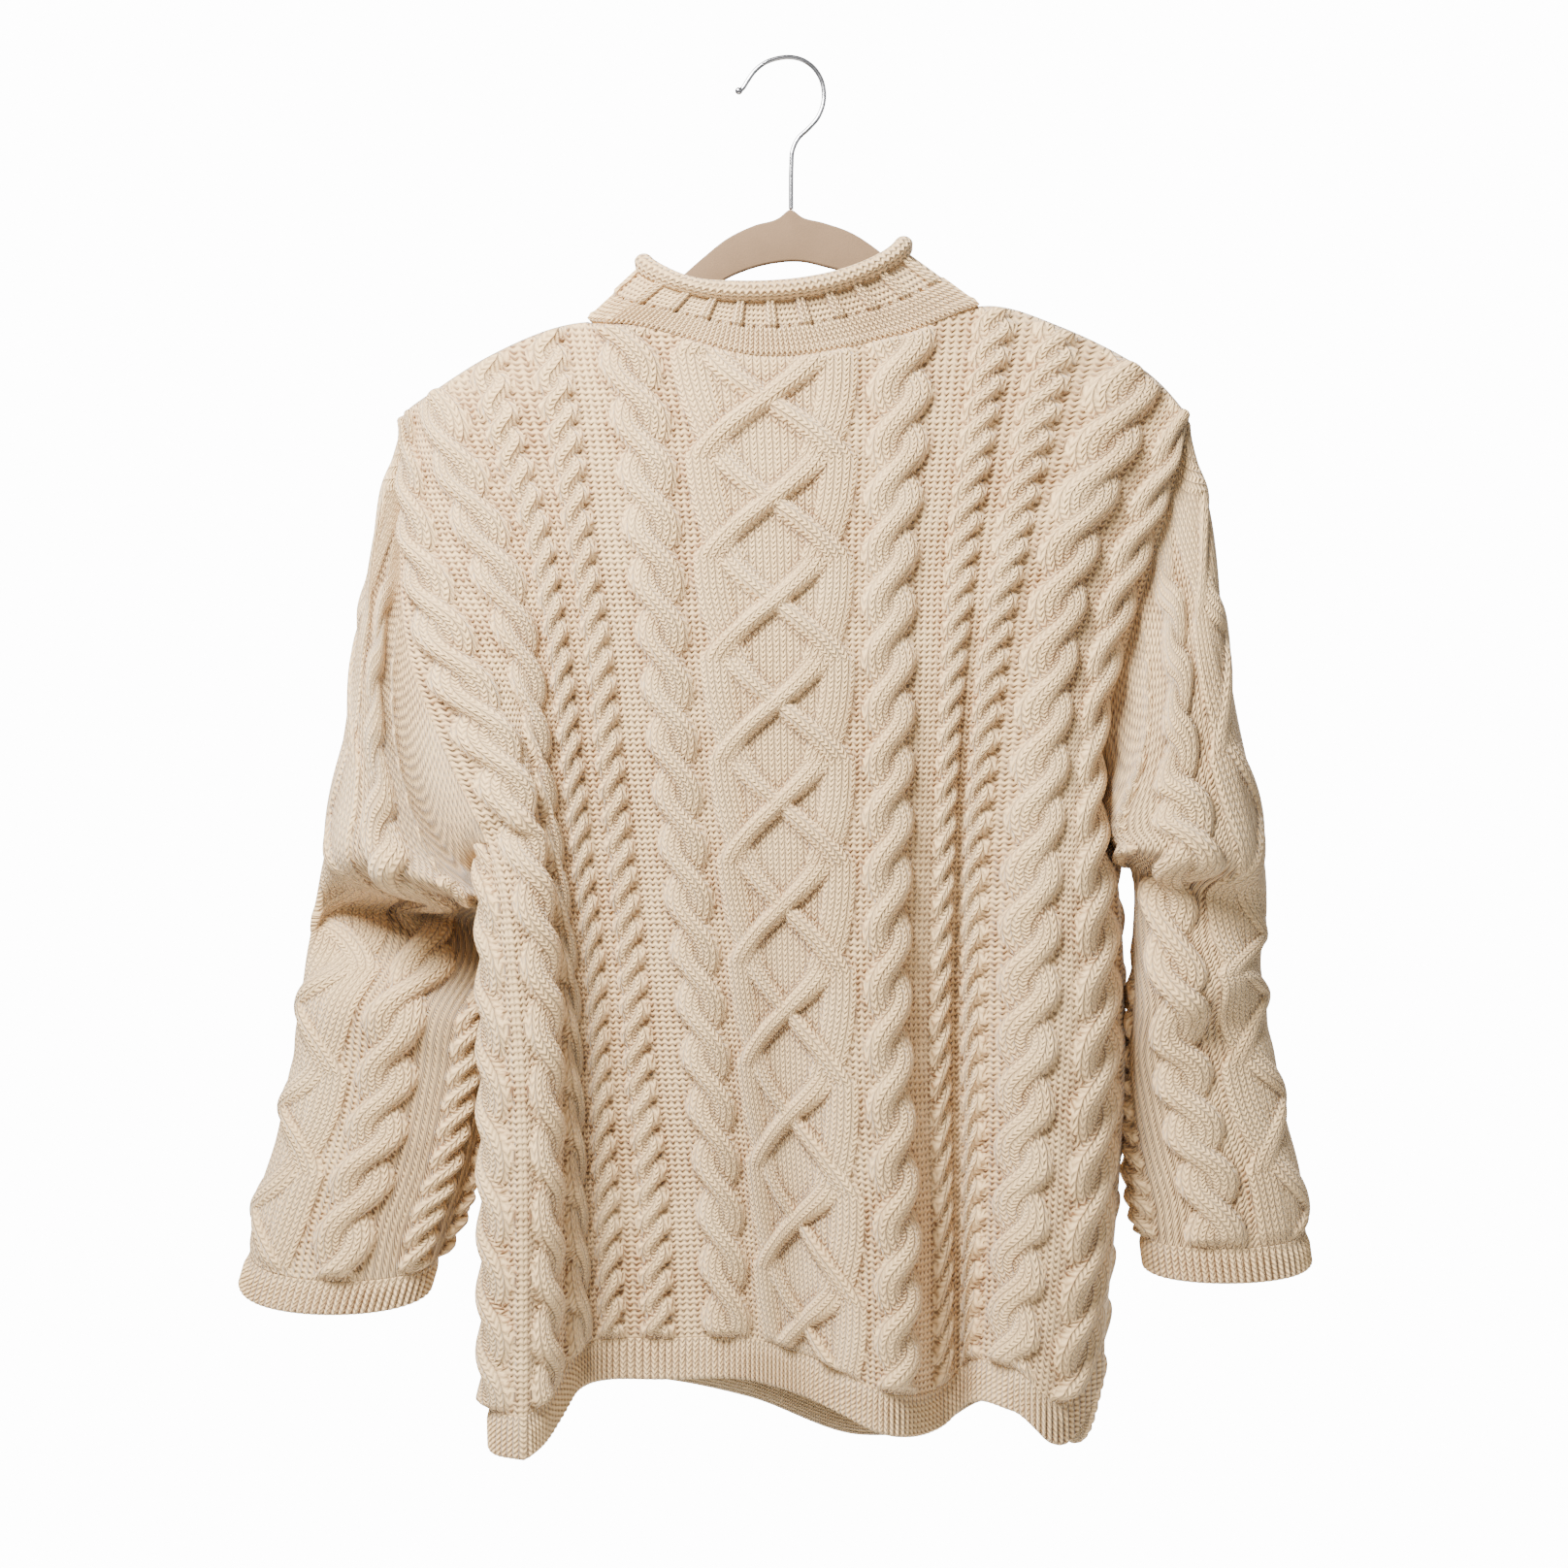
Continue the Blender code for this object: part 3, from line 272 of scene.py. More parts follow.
# Ribs: hem and cuffs, pairs round the collar, a pair's columns, fine ribs, stitches of the roll
RIB_PITCH = 4.2
RIB_RISE = 1.6
COLLAR_PAIRS = 22
COLUMN_WIDE = 3.1
FINE_PITCH = 2.8
ROLL_STITCH = 4.2
# Level of the row of holes between the collar's fine ribs and its pairs
COLLAR_HOLES = 0.475
# Share of the slow waves of freely hanging cloth
WAVE_SHARE = 0.4
# Rows of the outer face for each row of the inner face
INNER_EVERY = 6
BAND_EVERY = 7
# Step of the plain cloth's stitch places on inner faces
PLAIN_STEP = 2.1

# Studio, in metres
FLOOR = -1.35
FLOOR_RADIUS = 1.15
BACKDROP_WHITE = 14.0

# Distance from a sleeve's top line, and down the sleeve, that bound its plain cloth by the armhole,
# on the left side (-1) and the right side (1)
PLAIN_FROM = {-1: 96.0, 1: 95.0}
PLAIN_TO = {-1: 130.0, 1: 60.0}
# Distance down each sleeve of the fold at its elbow, where the pattern is pressed flatter
ELBOW = {-1: 212.0, 1: 190.0}
ELBOW_PRESS = 0.75
# Half width of the pattern on a sleeve's outer edge that lies flatter, and how much flatter
EDGE_HALF = 52.0
EDGE_PRESS = 0.45

# Creases: across, along, angle of its run, length, width, depth (ridges are above 0)
BACK_CREASES = (
    (-60, 300, 62, 150, 16, -1.6),
    (95, 330, 118, 170, 14, -1.5),
    (-150, 350, 58, 120, 12, 1.8),
    (160, 300, 125, 130, 12, 2.0),
    (-20, 520, 84, 220, 18, -1.8),
    (50, 640, 92, 260, 15, 1.8),
    (-110, 620, 86, 240, 13, -1.8),
    (-165, 560, 80, 190, 12, 1.6),
    (130, 600, 95, 210, 12, -1.6),
    (20, 720, 97, 130, 12, 1.5),
    (-60, 735, 85, 110, 11, -1.4),
)
FRONT_CREASES = (
    (-40, 330, 70, 170, 16, -1.5),
    (70, 360, 110, 150, 14, 1.6),
    (-110, 560, 85, 240, 14, 1.7),
    (10, 600, 92, 260, 16, -1.8),
    (120, 640, 94, 210, 12, 1.6),
)
SLEEVE_CREASES = {
    -1: ((-60, 120, 30, 90, 9, -1.4), (40, 190, -24, 100, 10, 1.4), (-20, 300, 18, 110, 9, -1.3),
         (70, 360, -30, 90, 9, 1.3), (-90, 420, 22, 90, 9, -1.2)),
    1: ((50, 110, -28, 90, 9, -1.4), (-50, 180, 26, 100, 10, 1.4), (20, 290, -20, 110, 9, -1.3),
        (-70, 350, 28, 90, 9, 1.3), (90, 430, -24, 80, 9, -1.2)),
}


def spline(knots, values, at):
    """Smooth curve through values at knots; values may have one row for each point asked for."""
    knots = np.asarray(knots, float)
    values = np.broadcast_to(np.asarray(values, float), np.shape(at) + (len(knots),))
    step = np.diff(knots)
    slope = np.diff(values, axis=-1) / step
    inner = (slope[..., :-1] * step[1:] + slope[..., 1:] * step[:-1]) / (step[1:] + step[:-1])
    tangent = np.concatenate([slope[..., :1], inner, slope[..., -1:]], axis=-1)
    k = np.clip(np.searchsorted(knots, at, side="right") - 1, 0, len(knots) - 2)
    width = step[k]
    t = np.clip((at - knots[k]) / width, -0.4, 1.4)
    v0, v1, m0, m1 = (np.take_along_axis(a, j[..., None], axis=-1)[..., 0]
                      for a in (values, tangent) for j in (k, k + 1))
    m0, m1 = m0 * width, m1 * width
    return (v0 * (2 * t ** 3 - 3 * t ** 2 + 1) + m0 * (t ** 3 - 2 * t ** 2 + t)
            + v1 * (3 * t ** 2 - 2 * t ** 3) + m1 * (t ** 3 - t ** 2))


def table_at(table, across, row):
    """Value of a section table at flat places across and rows down."""
    rows = np.array([line[0] for line in table], float)
    values = np.array([line[1:] for line in table], float).T
    lines = np.stack([spline(rows, value, row) for value in values], axis=-1)
    return spline(LINES, lines, across)


def place(across, depth, drop):
    """Point in millimetres for a place as seen from VIEW_DISTANCE in front."""
    near = 1.0 + depth / VIEW_DISTANCE
    x = VIEW_ACROSS + (across - VIEW_ACROSS) * near
    z = -(VIEW_DROP + (drop - VIEW_DROP) * near)
    return np.stack(np.broadcast_arrays(x, depth, z), axis=-1)


def unit(vectors):
    return vectors / np.maximum(np.linalg.norm(vectors, axis=-1, keepdims=True), 1e-9)


def ease(t):
    t = np.clip(t, 0.0, 1.0)
    return t * t * (3 - 2 * t)


def strand(offset, half):
    return np.sqrt(np.clip(1 - (offset / half) ** 2, 0, None))


def top_row(across, is_front):
    top = spline(LINES, TOP_DROP, across)
    neck = neck_share(across)
    return top + is_front * FRONT_NECK_DROP * neck ** 2


def neck_share(across):
    """1 in the middle of the neckline, 0 on the shoulders."""
    middle = (NECK_LEFT + NECK_RIGHT) / 2
    half = (NECK_RIGHT - NECK_LEFT) / 2
    return np.clip(1 - ((across - middle) / half) ** 2, 0, 1) ** 0.5


def panel_point(across, row, is_front):
    """Middle of the wall of a body panel at a flat place across and a row down."""
    spread = FRONT_ACROSS if is_front else BACK_ACROSS
    depths = FRONT_DEPTH if is_front else BACK_DEPTH
    far = 1.0 if is_front else -1.0
    x = table_at(spread, across, row)
    y = table_at(depths, across, row)
    edge = np.sign(across) * PANEL_HALF
    underarm = np.where(across < 0, UNDERARM_LEFT, UNDERARM_RIGHT)
    by_side = ease((np.abs(across) - CABLE_1) / (PANEL_HALF - CABLE_1))
    joined = by_side * ease((row - underarm + UNDERARM_BLEND) / UNDERARM_BLEND)
    other_spread = BACK_ACROSS if is_front else FRONT_ACROSS
    other_depths = BACK_DEPTH if is_front else FRONT_DEPTH
    x = x + joined * (table_at(other_spread, edge, row) - table_at(spread, edge, row)) / 2
    y = y + joined * (table_at(other_depths, edge, row) - table_at(depths, edge, row)) / 2
    below = row - top_row(across, is_front)
    on_arm = np.clip(1 - 2.2 * neck_share(across), 0, 1)
    bend = 1 - np.exp(-np.clip(below, 0, None) / SHOULDER_BEND)
    leave = ease(below / SHOULDER_REACH)
    over_arm = far * SHOULDER_DEEP * bend + (y - far * SHOULDER_DEEP) * leave
    meet = on_arm * ease((MEET_REACH - below) / MEET_REACH)
    y = y + (over_arm - y) * meet
    y = np.where(meet > 0, y + far * SEAM_GAP * 0.5 * meet, y)
    sag = spline(LINES, FRONT_SAG if is_front else BACK_SAG, across)
    fall = ease((row - SAG_FROM) / (RIB_TOP - SAG_FROM))
    return place(x, y, row + sag * fall)


def sleeve_ring(section, around):
    """Ring of a sleeve section, its points at even steps along the near half and the far half."""
    ox, oz, ix, iz, mx, mz, yo, yi, yn, yf, far_bow = section
    halves = []
    turn = np.linspace(0, math.pi, 181)
    bow = np.sin(turn) ** 0.8
    part = (1 - np.cos(turn)) / 2
    for depth, share in ((yn, 1.0), (yf, far_bow)):
        x = ox + (ix - ox) * part + (mx - (ox + ix) / 2) * bow * share
        z = oz + (iz - oz) * part + (mz - (oz + iz) / 2) * bow * share
        edge = yo + (yi - yo) * part
        line = place(x, edge + (depth - edge) * bow, z)
        run = np.concatenate([[0], np.cumsum(np.linalg.norm(np.diff(line, axis=0), axis=-1))])
        at = np.linspace(0, run[-1], around // 2 + 1)
        halves.append(np.stack([np.interp(at, run, line[:, k]) for k in range(3)], axis=-1))
    near, far = halves
    return np.concatenate([near, far[::-1][1:-1]])


def neckline(steps):
    """Ring of points on the panels' neck edges, raised by the seam."""
    across = NECK_LEFT + (NECK_RIGHT - NECK_LEFT) * (1 - np.cos(steps)) / 2
    near = np.sin(steps)[:, None] > 0
    back = panel_point(across, top_row(across, 0), 0)
    front = panel_point(across, top_row(across, 1), 1)
    side = 1 - np.abs(np.sin(steps))
    ring = np.where(near, back, front)
    ring[:, 2] += NECK_GAP + NECK_LIFT * side ** 2
    return ring


def collar_ring(level, steps):
    """Ring of the neck band at a level from 0 at its seam to 1 below the roll."""
    left_x, left_drop, near_drop, near_depth, right_x, right_drop, far_drop, far_depth = COLLAR_TOP
    bow = np.abs(np.sin(steps))
    half = (1 - np.cos(steps)) / 2
    x = left_x + (right_x - left_x) * half
    drop = left_drop + (right_drop - left_drop) * half
    middle = (left_drop + right_drop) / 2
    is_near = np.sin(steps) > 0
    drop = drop + np.where(is_near, (near_drop - middle) * bow ** 1.5, (far_drop - middle) * bow)
    y = np.where(is_near, near_depth, far_depth) * bow
    top = place(x, y, drop)
    base = neckline(steps)
    return base + (top - base) * level


def ring_out(rings):
    turn = np.roll(rings, -1, axis=1) - np.roll(rings, 1, axis=1)
    down = np.gradient(rings, axis=0)
    out = unit(np.cross(turn, down))
    middle = rings.mean(axis=1, keepdims=True)
    return -out if ((rings - middle) * out).sum() < 0 else out


# Yarn paths: where each knitted strand runs on the flat cloth

def twist_paths(across, along, centre, half, repeat, lean, rise):
    """Two strands of a cable: height, place across the strand, place along it."""
    thick = half * STRAND_SHARE
    swing = half - thick
    for turn in (0.0, math.pi):
        angle = math.pi * along / repeat + turn
        offset = across - centre - swing * np.cos(angle)
        slope = -swing * math.pi / repeat * np.sin(angle)
        over = -lean * np.sin(angle)
        height = strand(offset, thick) * (rise * (1 + CROSS_LIFT * over))
        length = np.sqrt(1 + slope ** 2)
        yield height, offset / length, TWIST_SLACK * along + offset * slope / length


def lattice_paths(across, along, period):
    """Crossed cords, side bands and base of the middle panel."""
    t = (along - LATTICE_START) / LATTICE_REPEAT - period
    reach = LATTICE_INNER + LATTICE_OUTER
    swing = -LATTICE_INNER + reach * (0.5 * ease(t) + 0.5 * t)
    slope = reach * (3 * t * (1 - t) + 0.5) / LATTICE_REPEAT
    length = np.sqrt(1 + slope ** 2)
    lift = np.sin(np.pi * np.clip(t, 0, 1)) ** 0.6
    wide = LATTICE_BAND - (LATTICE_BAND - LATTICE_CORD) * lift
    under = np.exp(-(across / 9.0) ** 2)
    for side, crest, dip in ((1, 4.2, 0.0), (-1, 4.0, 0.3)):
        offset = across + side * swing
        height = strand(offset, wide) * (LATTICE_RISE + crest * lift) * (1 - dip * under)
        yield height, offset / length, 1.3 * along - side * offset * slope / length
    band = LATTICE_OUTER - (LATTICE_OUTER - LATTICE_INNER) * t
    band = band + LATTICE_BOW * np.sin(np.pi * np.clip(t, 0, 1))
    offset = np.abs(across) - band
    yield strand(offset, LATTICE_BAND) ** 0.7 * LATTICE_RISE, offset, along
    yield LATTICE_BASE * ease((band + 3 - np.abs(across)) / 5), across, along


def yarn_paths(across, along, mirror, period):
    """Every strand on a flat place: height, across, along and whether it is knit or purl."""
    yield np.zeros_like(across), across, along, 0.0
    for height, u, v in lattice_paths(across, along, period):
        yield height, u, v, 1.0
    for centre, lean, shift in WIDE_CABLES:
        for height, u, v in twist_paths(across, along + shift, centre, CABLE_HALF, CABLE_REPEAT,
                                        lean * mirror, CABLE_RISE):
            yield height, u, v, 1.0
    for centre in (-ROPE_OUTER, -ROPE_INNER, ROPE_INNER, ROPE_OUTER):
        for height, u, v in twist_paths(across, along, centre, ROPE_HALF, ROPE_REPEAT,
                                        -mirror, ROPE_RISE):
            yield height, u, v, 1.0


def lattice_period(along):
    """Number of the lattice's repeat that a place belongs to."""
    return np.floor((along - LATTICE_START) / LATTICE_REPEAT)


def cable_relief(across, along, mirror=1.0):
    """Height of the highest strand at each flat place, over the purl ground."""
    height = np.zeros(np.broadcast(across, along).shape)
    for level, u, v, knit in yarn_paths(across, along, mirror, lattice_period(along)):
        height = np.maximum(height, level)
    return height


def stitch_places(across, along, mirror=1.0, shown=1.0, ground=None):
    """Places of face corners across and along the strand that each face belongs to.

    across and along are (faces, corners). A face takes the strand that is highest at its middle,
    so the stitches turn with the cables and break cleanly where strands cross. shown is the share
    of the relief that a face keeps; with little of it, the face is plain purl ground. ground
    gives the length along the cloth for the stitches of the ground, where its rows spread.
    """
    middle_across = across.mean(axis=1)
    middle_along = along.mean(axis=1)
    best = np.full(middle_across.shape, -1.0)
    u = across.copy()
    v = along.copy()
    ground = along if ground is None else ground
    kind = np.zeros(middle_across.shape)
    period = lattice_period(middle_along)
    middles = yarn_paths(middle_across, middle_along, mirror, period)
    corners = yarn_paths(across, along, mirror, period[:, None])
    for (level, _, _, _), (_, cu, cv, knit) in zip(middles, corners):
        won = (level > best + 1e-6) & ((shown > 0.3) | (knit == 0))
        cv = cv if knit else ground
        best = np.where(won, level, best)
        kind = np.where(won, knit, kind)
        u = np.where(won[:, None], cu, u)
        v = np.where(won[:, None], cv, v)
    return u, v, kind


# Knitted shells

def shell_faces(rows, cols, closed, every):
    """Quads of a fine outer grid, then those of an inner grid that keeps one row in every few."""
    wrap = cols if closed else cols - 1
    i, j = np.meshgrid(np.arange(rows - 1), np.arange(wrap), indexing="ij")
    k = (j + 1) % cols
    outer = np.stack([i * cols + j, (i + 1) * cols + j, (i + 1) * cols + k, i * cols + k], axis=-1)
    outer = outer.reshape(-1, 4)
    kept = list(range(0, rows - 1, every)) + [rows - 1]
    base = rows * cols
    i, j = np.meshgrid(np.arange(len(kept) - 1), np.arange(wrap), indexing="ij")
    k = (j + 1) % cols
    inner = np.stack([base + i * cols + j, base + i * cols + k, base + (i + 1) * cols + k,
                      base + (i + 1) * cols + j], axis=-1).reshape(-1, 4)
    j = np.arange(wrap)
    k = (j + 1) % cols
    last_in = base + (len(kept) - 1) * cols
    last_out = (rows - 1) * cols
    top = np.stack([j, k, base + k, base + j], axis=-1)
    bottom = np.stack([last_out + k, last_out + j, last_in + j, last_in + k], axis=-1)
    sides = []
    if not closed:
        for edge, turn in ((0, False), (cols - 1, True)):
            for n, (a, b) in enumerate(zip(kept[:-1], kept[1:])):
                inner_a = base + n * cols + edge
                inner_b = base + (n + 1) * cols + edge
                face = [r * cols + edge for r in range(b, a - 1, -1)] + [inner_a, inner_b]
                sides.append(face[::-1] if turn else face)
    return outer, np.concatenate([inner, top, bottom]), sides, kept


def knit_object(name, outer, inner, places, closed, flip, every=INNER_EVERY, relief=None):
    """Mesh of a knitted shell, with its stitch places on every face corner.

    places gives (u, v, knit) for the corners of the outer faces; relief sets the painted shade.
    """
    rows, cols = outer.shape[:2]
    quads, plain, sides, kept = shell_faces(rows, cols, closed, every)
    points = np.concatenate([outer.reshape(-1, 3), inner[kept].reshape(-1, 3)]) * MM
    if flip:
        quads = quads[:, ::-1]
        plain = plain[:, ::-1]
        sides = [face[::-1] for face in sides]
    mesh = bpy.data.meshes.new(name)
    mesh.from_pydata(points.tolist(), [], quads.tolist() + plain.tolist() + sides)
    u, v, knit = places
    count = quads.size
    vertex = np.zeros(len(mesh.loops), int)
    mesh.loops.foreach_get("vertex_index", vertex)
    # The inner face and the rims are plain cloth, placed by their grid's steps
    grid = np.broadcast_arrays(np.arange(cols), np.arange(rows)[:, None])
    flat = np.stack(grid, axis=-1) * PLAIN_STEP
    stitch = np.concatenate([flat.reshape(-1, 2), flat[kept].reshape(-1, 2)])[vertex]
    turn = slice(None, None, -1) if flip else slice(None)
    stitch[:count] = np.stack([u[:, turn], v[:, turn]], axis=-1).reshape(-1, 2)
    layer = mesh.uv_layers.new(name="Stitches")
    layer.data.foreach_set("uv", (stitch * MM).ravel())
    # Painted shade: how far each corner lies below the smoothed relief around it, darkening the
    # yarn in the hollows
    painted_hollow_shade = quad_corners(painted_shade_depth(relief, closed), closed)[:, turn]
    for layer_name, values in (("knit", np.repeat(knit, 4)), ("painted_hollow_shade", painted_hollow_shade.ravel())):
        mask = np.zeros(len(vertex))
        mask[:count] = values
        mesh.attributes.new(layer_name, "FLOAT", "CORNER").data.foreach_set("value", mask)
    return shown_object(name, mesh)


def shown_object(name, mesh):
    """Object for a mesh, smooth and linked to the scene."""
    mesh.shade_smooth()
    obj = bpy.data.objects.new(name, mesh)
    bpy.context.scene.collection.objects.link(obj)
    return obj


def painted_shade_depth(relief, closed):
    """0 on open cloth to 1 in the hollows beside the strands, where the yarn's colour gets painted
    shade.
    """
    mean = relief
    for _ in range(5):
        for axis in (0, 1):
            if axis == 1 and closed:
                ahead, behind = np.roll(mean, -1, 1), np.roll(mean, 1, 1)
            else:
                pad = [(1, 1) if k == axis else (0, 0) for k in (0, 1)]
                wide = np.pad(mean, pad, mode="edge")
                ahead = wide[2:] if axis == 0 else wide[:, 2:]
                behind = wide[:-2] if axis == 0 else wide[:, :-2]
            mean = (ahead + behind + 2 * mean) / 4
    return np.clip((mean - relief) / 1.2, 0, 1)


def quad_corners(values, closed):
    """Values of a grid at the corners of its outer faces, in the faces' order."""
    right = np.roll(values, -1, axis=1)
    if not closed:
        values, right = values[:, :-1], right[:, :-1]
    corners = np.stack([values[:-1], values[1:], right[1:], right[:-1]], axis=-1)
    return corners.reshape(-1, 4)


def grid_out(grid, closed):
    """Unit directions square to a grid of points."""
    if closed:
        turn = np.roll(grid, -1, axis=1) - np.roll(grid, 1, axis=1)
    else:
        turn = np.gradient(grid, axis=1)
    return unit(np.cross(turn, np.gradient(grid, axis=0)))


def unevenness(across, along):
    """Small waves of a knitted surface that hangs freely."""
    wave = 0.5 * np.sin(across / 23.0 + 0.7 * np.sin(along / 61.0))
    wave = wave + 0.4 * np.sin(along / 37.0 + across / 71.0 + 1.3)
    return wave + 0.25 * np.sin(across / 9.7 + along / 13.1)


def crease_depth(across, along, creases):
    """Soft troughs and ridges at listed places, each faded at its ends."""
    total = np.zeros(np.broadcast(across, along).shape)
    for place_x, place_y, angle, length, width, depth in creases:
        turn = math.radians(angle)
        run = (across - place_x) * math.cos(turn) + (along - place_y) * math.sin(turn)
        side = -(across - place_x) * math.sin(turn) + (along - place_y) * math.cos(turn)
        ends = np.exp(-(run / (length / 2)) ** 4)
        side = side + 0.08 * length * (run / length) ** 2
        total = total + depth * ends * np.exp(-(side / width) ** 2)
    return total


def panel_rows(across, count):
    """Rows of a panel's grid: close ones over the shoulder, then even ones to the hem rib."""
    close = 12
    top = np.stack([top_row(across, 0), top_row(across, 1)])
    steps = np.arange(count + 1)
    part = np.clip((steps - close) / (count - close), 0, 1)[:, None]
    first = np.minimum(steps, close)[:, None] * 1.0
    return [t + first + (RIB_TOP - t - close) * part for t in top]


def knit_panels(fineness):
    """Both body panels, sewn together at the shoulders and sides."""
    cols = int(504 / fineness)
    count = int(640 / fineness)
    columns = np.linspace(-PANEL_HALF, PANEL_HALF, cols)
    both_rows = panel_rows(columns, count)
    middles = []
    outs = []
    for is_front in (0, 1):
        rows = both_rows[is_front]
        across = np.broadcast_to(columns, rows.shape)
        middle = panel_point(across, rows, is_front)
        middles.append(middle)
        outs.append(grid_out(middle, False) * (1 if is_front else -1))
    shared = unit(outs[0] + outs[1])
    on_arm = (neck_share(columns) == 0)[:, None]
    pieces = []
    for is_front in (0, 1):
        rows = both_rows[is_front]
        across = np.broadcast_to(columns, rows.shape)
        out = outs[is_front]
        out[0] = np.where(on_arm, shared[0], out[0])
        for edge, underarm in ((0, UNDERARM_LEFT), (-1, UNDERARM_RIGHT)):
            sewn = (rows[:, edge] >= underarm)[:, None]
            out[:, edge] = np.where(sewn, shared[:, edge], out[:, edge])
        mirror = -1.0 if is_front else 1.0
        from_edge = PANEL_HALF - np.abs(across)
        below = rows - rows[0]
        fade = ease(from_edge / 5.0) * ease(below / 5.0) * ease((RIB_TOP - rows) / 6.0)
        creases = FRONT_CREASES if is_front else BACK_CREASES
        relief = cable_relief(across, rows, mirror) * fade
        relief = relief + WAVE_SHARE * unevenness(across, rows) * fade
        relief = relief + crease_depth(across, rows, creases) * fade
        outer = middles[is_front] + out * (WALL / 2 + relief[..., None])
        inner = middles[is_front] - out * (WALL / 2)
        places = stitch_places(quad_corners(across, False), quad_corners(rows, False), mirror)
        name = "front" if is_front else "back"
        pieces.append(knit_object(name + "_knitted", outer, inner, places, False, not is_front,
                                  relief=relief))
    return pieces


def ribbed(middle, out, rib, part, sides=1.0, wave=0.0):
    """Outer and inner points of a ribbed band and its relief; its edge is thinner.

    rib is 1 on a rib and 0 between two, and part goes from 0 at the seam to 1 at the edge.
    """
    height = (0.2 + RIB_RISE * rib ** 0.9) * (0.2 + 0.9 * ease(part / 0.35)) * sides + wave
    taper = 1 - 0.55 * ease((part - 0.93) / 0.07)
    outer = middle + out * ((WALL / 2 + height) * taper)[..., None]
    inner = middle - out * (WALL / 2 - 0.2 + 0.5 * (1 - rib) * taper)[..., None]
    return outer, inner, height


def join_round(corners, whole, back):
    """Carries the last column's stitches on past a ring's start, where they fall back."""
    return np.where(np.arange(4) < 2, corners,
                    np.where(corners < corners[:, [0, 1, 0, 1]] - back, corners + whole, corners))


def hem_band(is_front):
    """Ribbed band below a panel."""
    columns = np.linspace(-PANEL_HALF, PANEL_HALF, 721)
    lead = np.array([[RIB_TOP - 2.0], [RIB_TOP]])
    across = np.broadcast_to(columns, (2, columns.size))
    top_two = panel_point(across, lead + 0 * columns, is_front)
    other = panel_point(across, lead + 0 * columns, not is_front)
    out = grid_out(top_two, False)[1] * (1 if is_front else -1)
    other_out = grid_out(other, False)[1] * (-1 if is_front else 1)
    for edge in (0, -1):
        out[edge] = unit(out[edge] + other_out[edge])
    drops = np.linspace(-0.6, RIB_GAP + RIB_TALL, 22)
    part = (drops / (RIB_GAP + RIB_TALL))[:, None]
    rib = 0.5 + 0.5 * np.cos(2 * math.pi * columns / RIB_PITCH)
    sides = ease((PANEL_HALF - np.abs(columns)) / 5.0)
    wave = 0.6 * np.sin(columns / 8.5 + 1.1 * np.sin(columns / 31.0)) * part ** 2
    middle = top_two[1] + np.array([0, 0, -1.0]) * drops[:, None, None]
    outer, inner, height = ribbed(middle, out, rib, part, sides, wave * sides)
    across = np.broadcast_to(columns, outer.shape[:2]) * STITCH_WIDE / RIB_PITCH
    along = np.broadcast_to(drops[:, None], outer.shape[:2])
    u, v = quad_corners(across, False), quad_corners(along, False)
    name = "hem_rib_front_knitted" if is_front else "hem_rib_back_knitted"
    # The relief given here, made deeper, only sets the painted shade between the ribs
    return knit_object(name, outer, inner, (u, v, np.ones(len(u))), False, not is_front, BAND_EVERY,
                       relief=3.0 * height)


def smoothed(grid, times, first=1):
    """Grid of a tube with its points drawn towards their neighbours, both ends kept."""
    grid = grid.copy()
    for _ in range(times):
        mean = (grid[:-2] + grid[2:]) / 2
        grid[1:-1] += (mean - grid[1:-1]) * 0.5
        ring = (np.roll(grid, 1, axis=1) + np.roll(grid, -1, axis=1)) / 2
        grid[first:] += (ring[first:] - grid[first:]) * 0.25
    return grid


def arm_ring(side, step):
    """Ring on the panels' side edges: points and their nearness to the armpit."""
    edge = side * PANEL_HALF
    underarm = UNDERARM_LEFT if side < 0 else UNDERARM_RIGHT
    top = float(top_row(np.array([edge]), 0)[0])
    rows = np.linspace(top, underarm, int((underarm - top) / step))
    points = []
    pits = []
    for is_front, order in ((0, rows), (1, rows[::-1][1:-1])):
        pit = ease(1 - (underarm - order) / (ARMPIT_REACH + ARMPIT_FAR * is_front))
        leave = (pit[:, None] * SEAM_PIT - SEAM_UNDER) * np.array([side, 0, -0.3])
        points.append(panel_point(np.full(order.shape, edge), order, is_front) + leave)
        pits.append(pit)
    return np.concatenate(points), np.concatenate(pits)


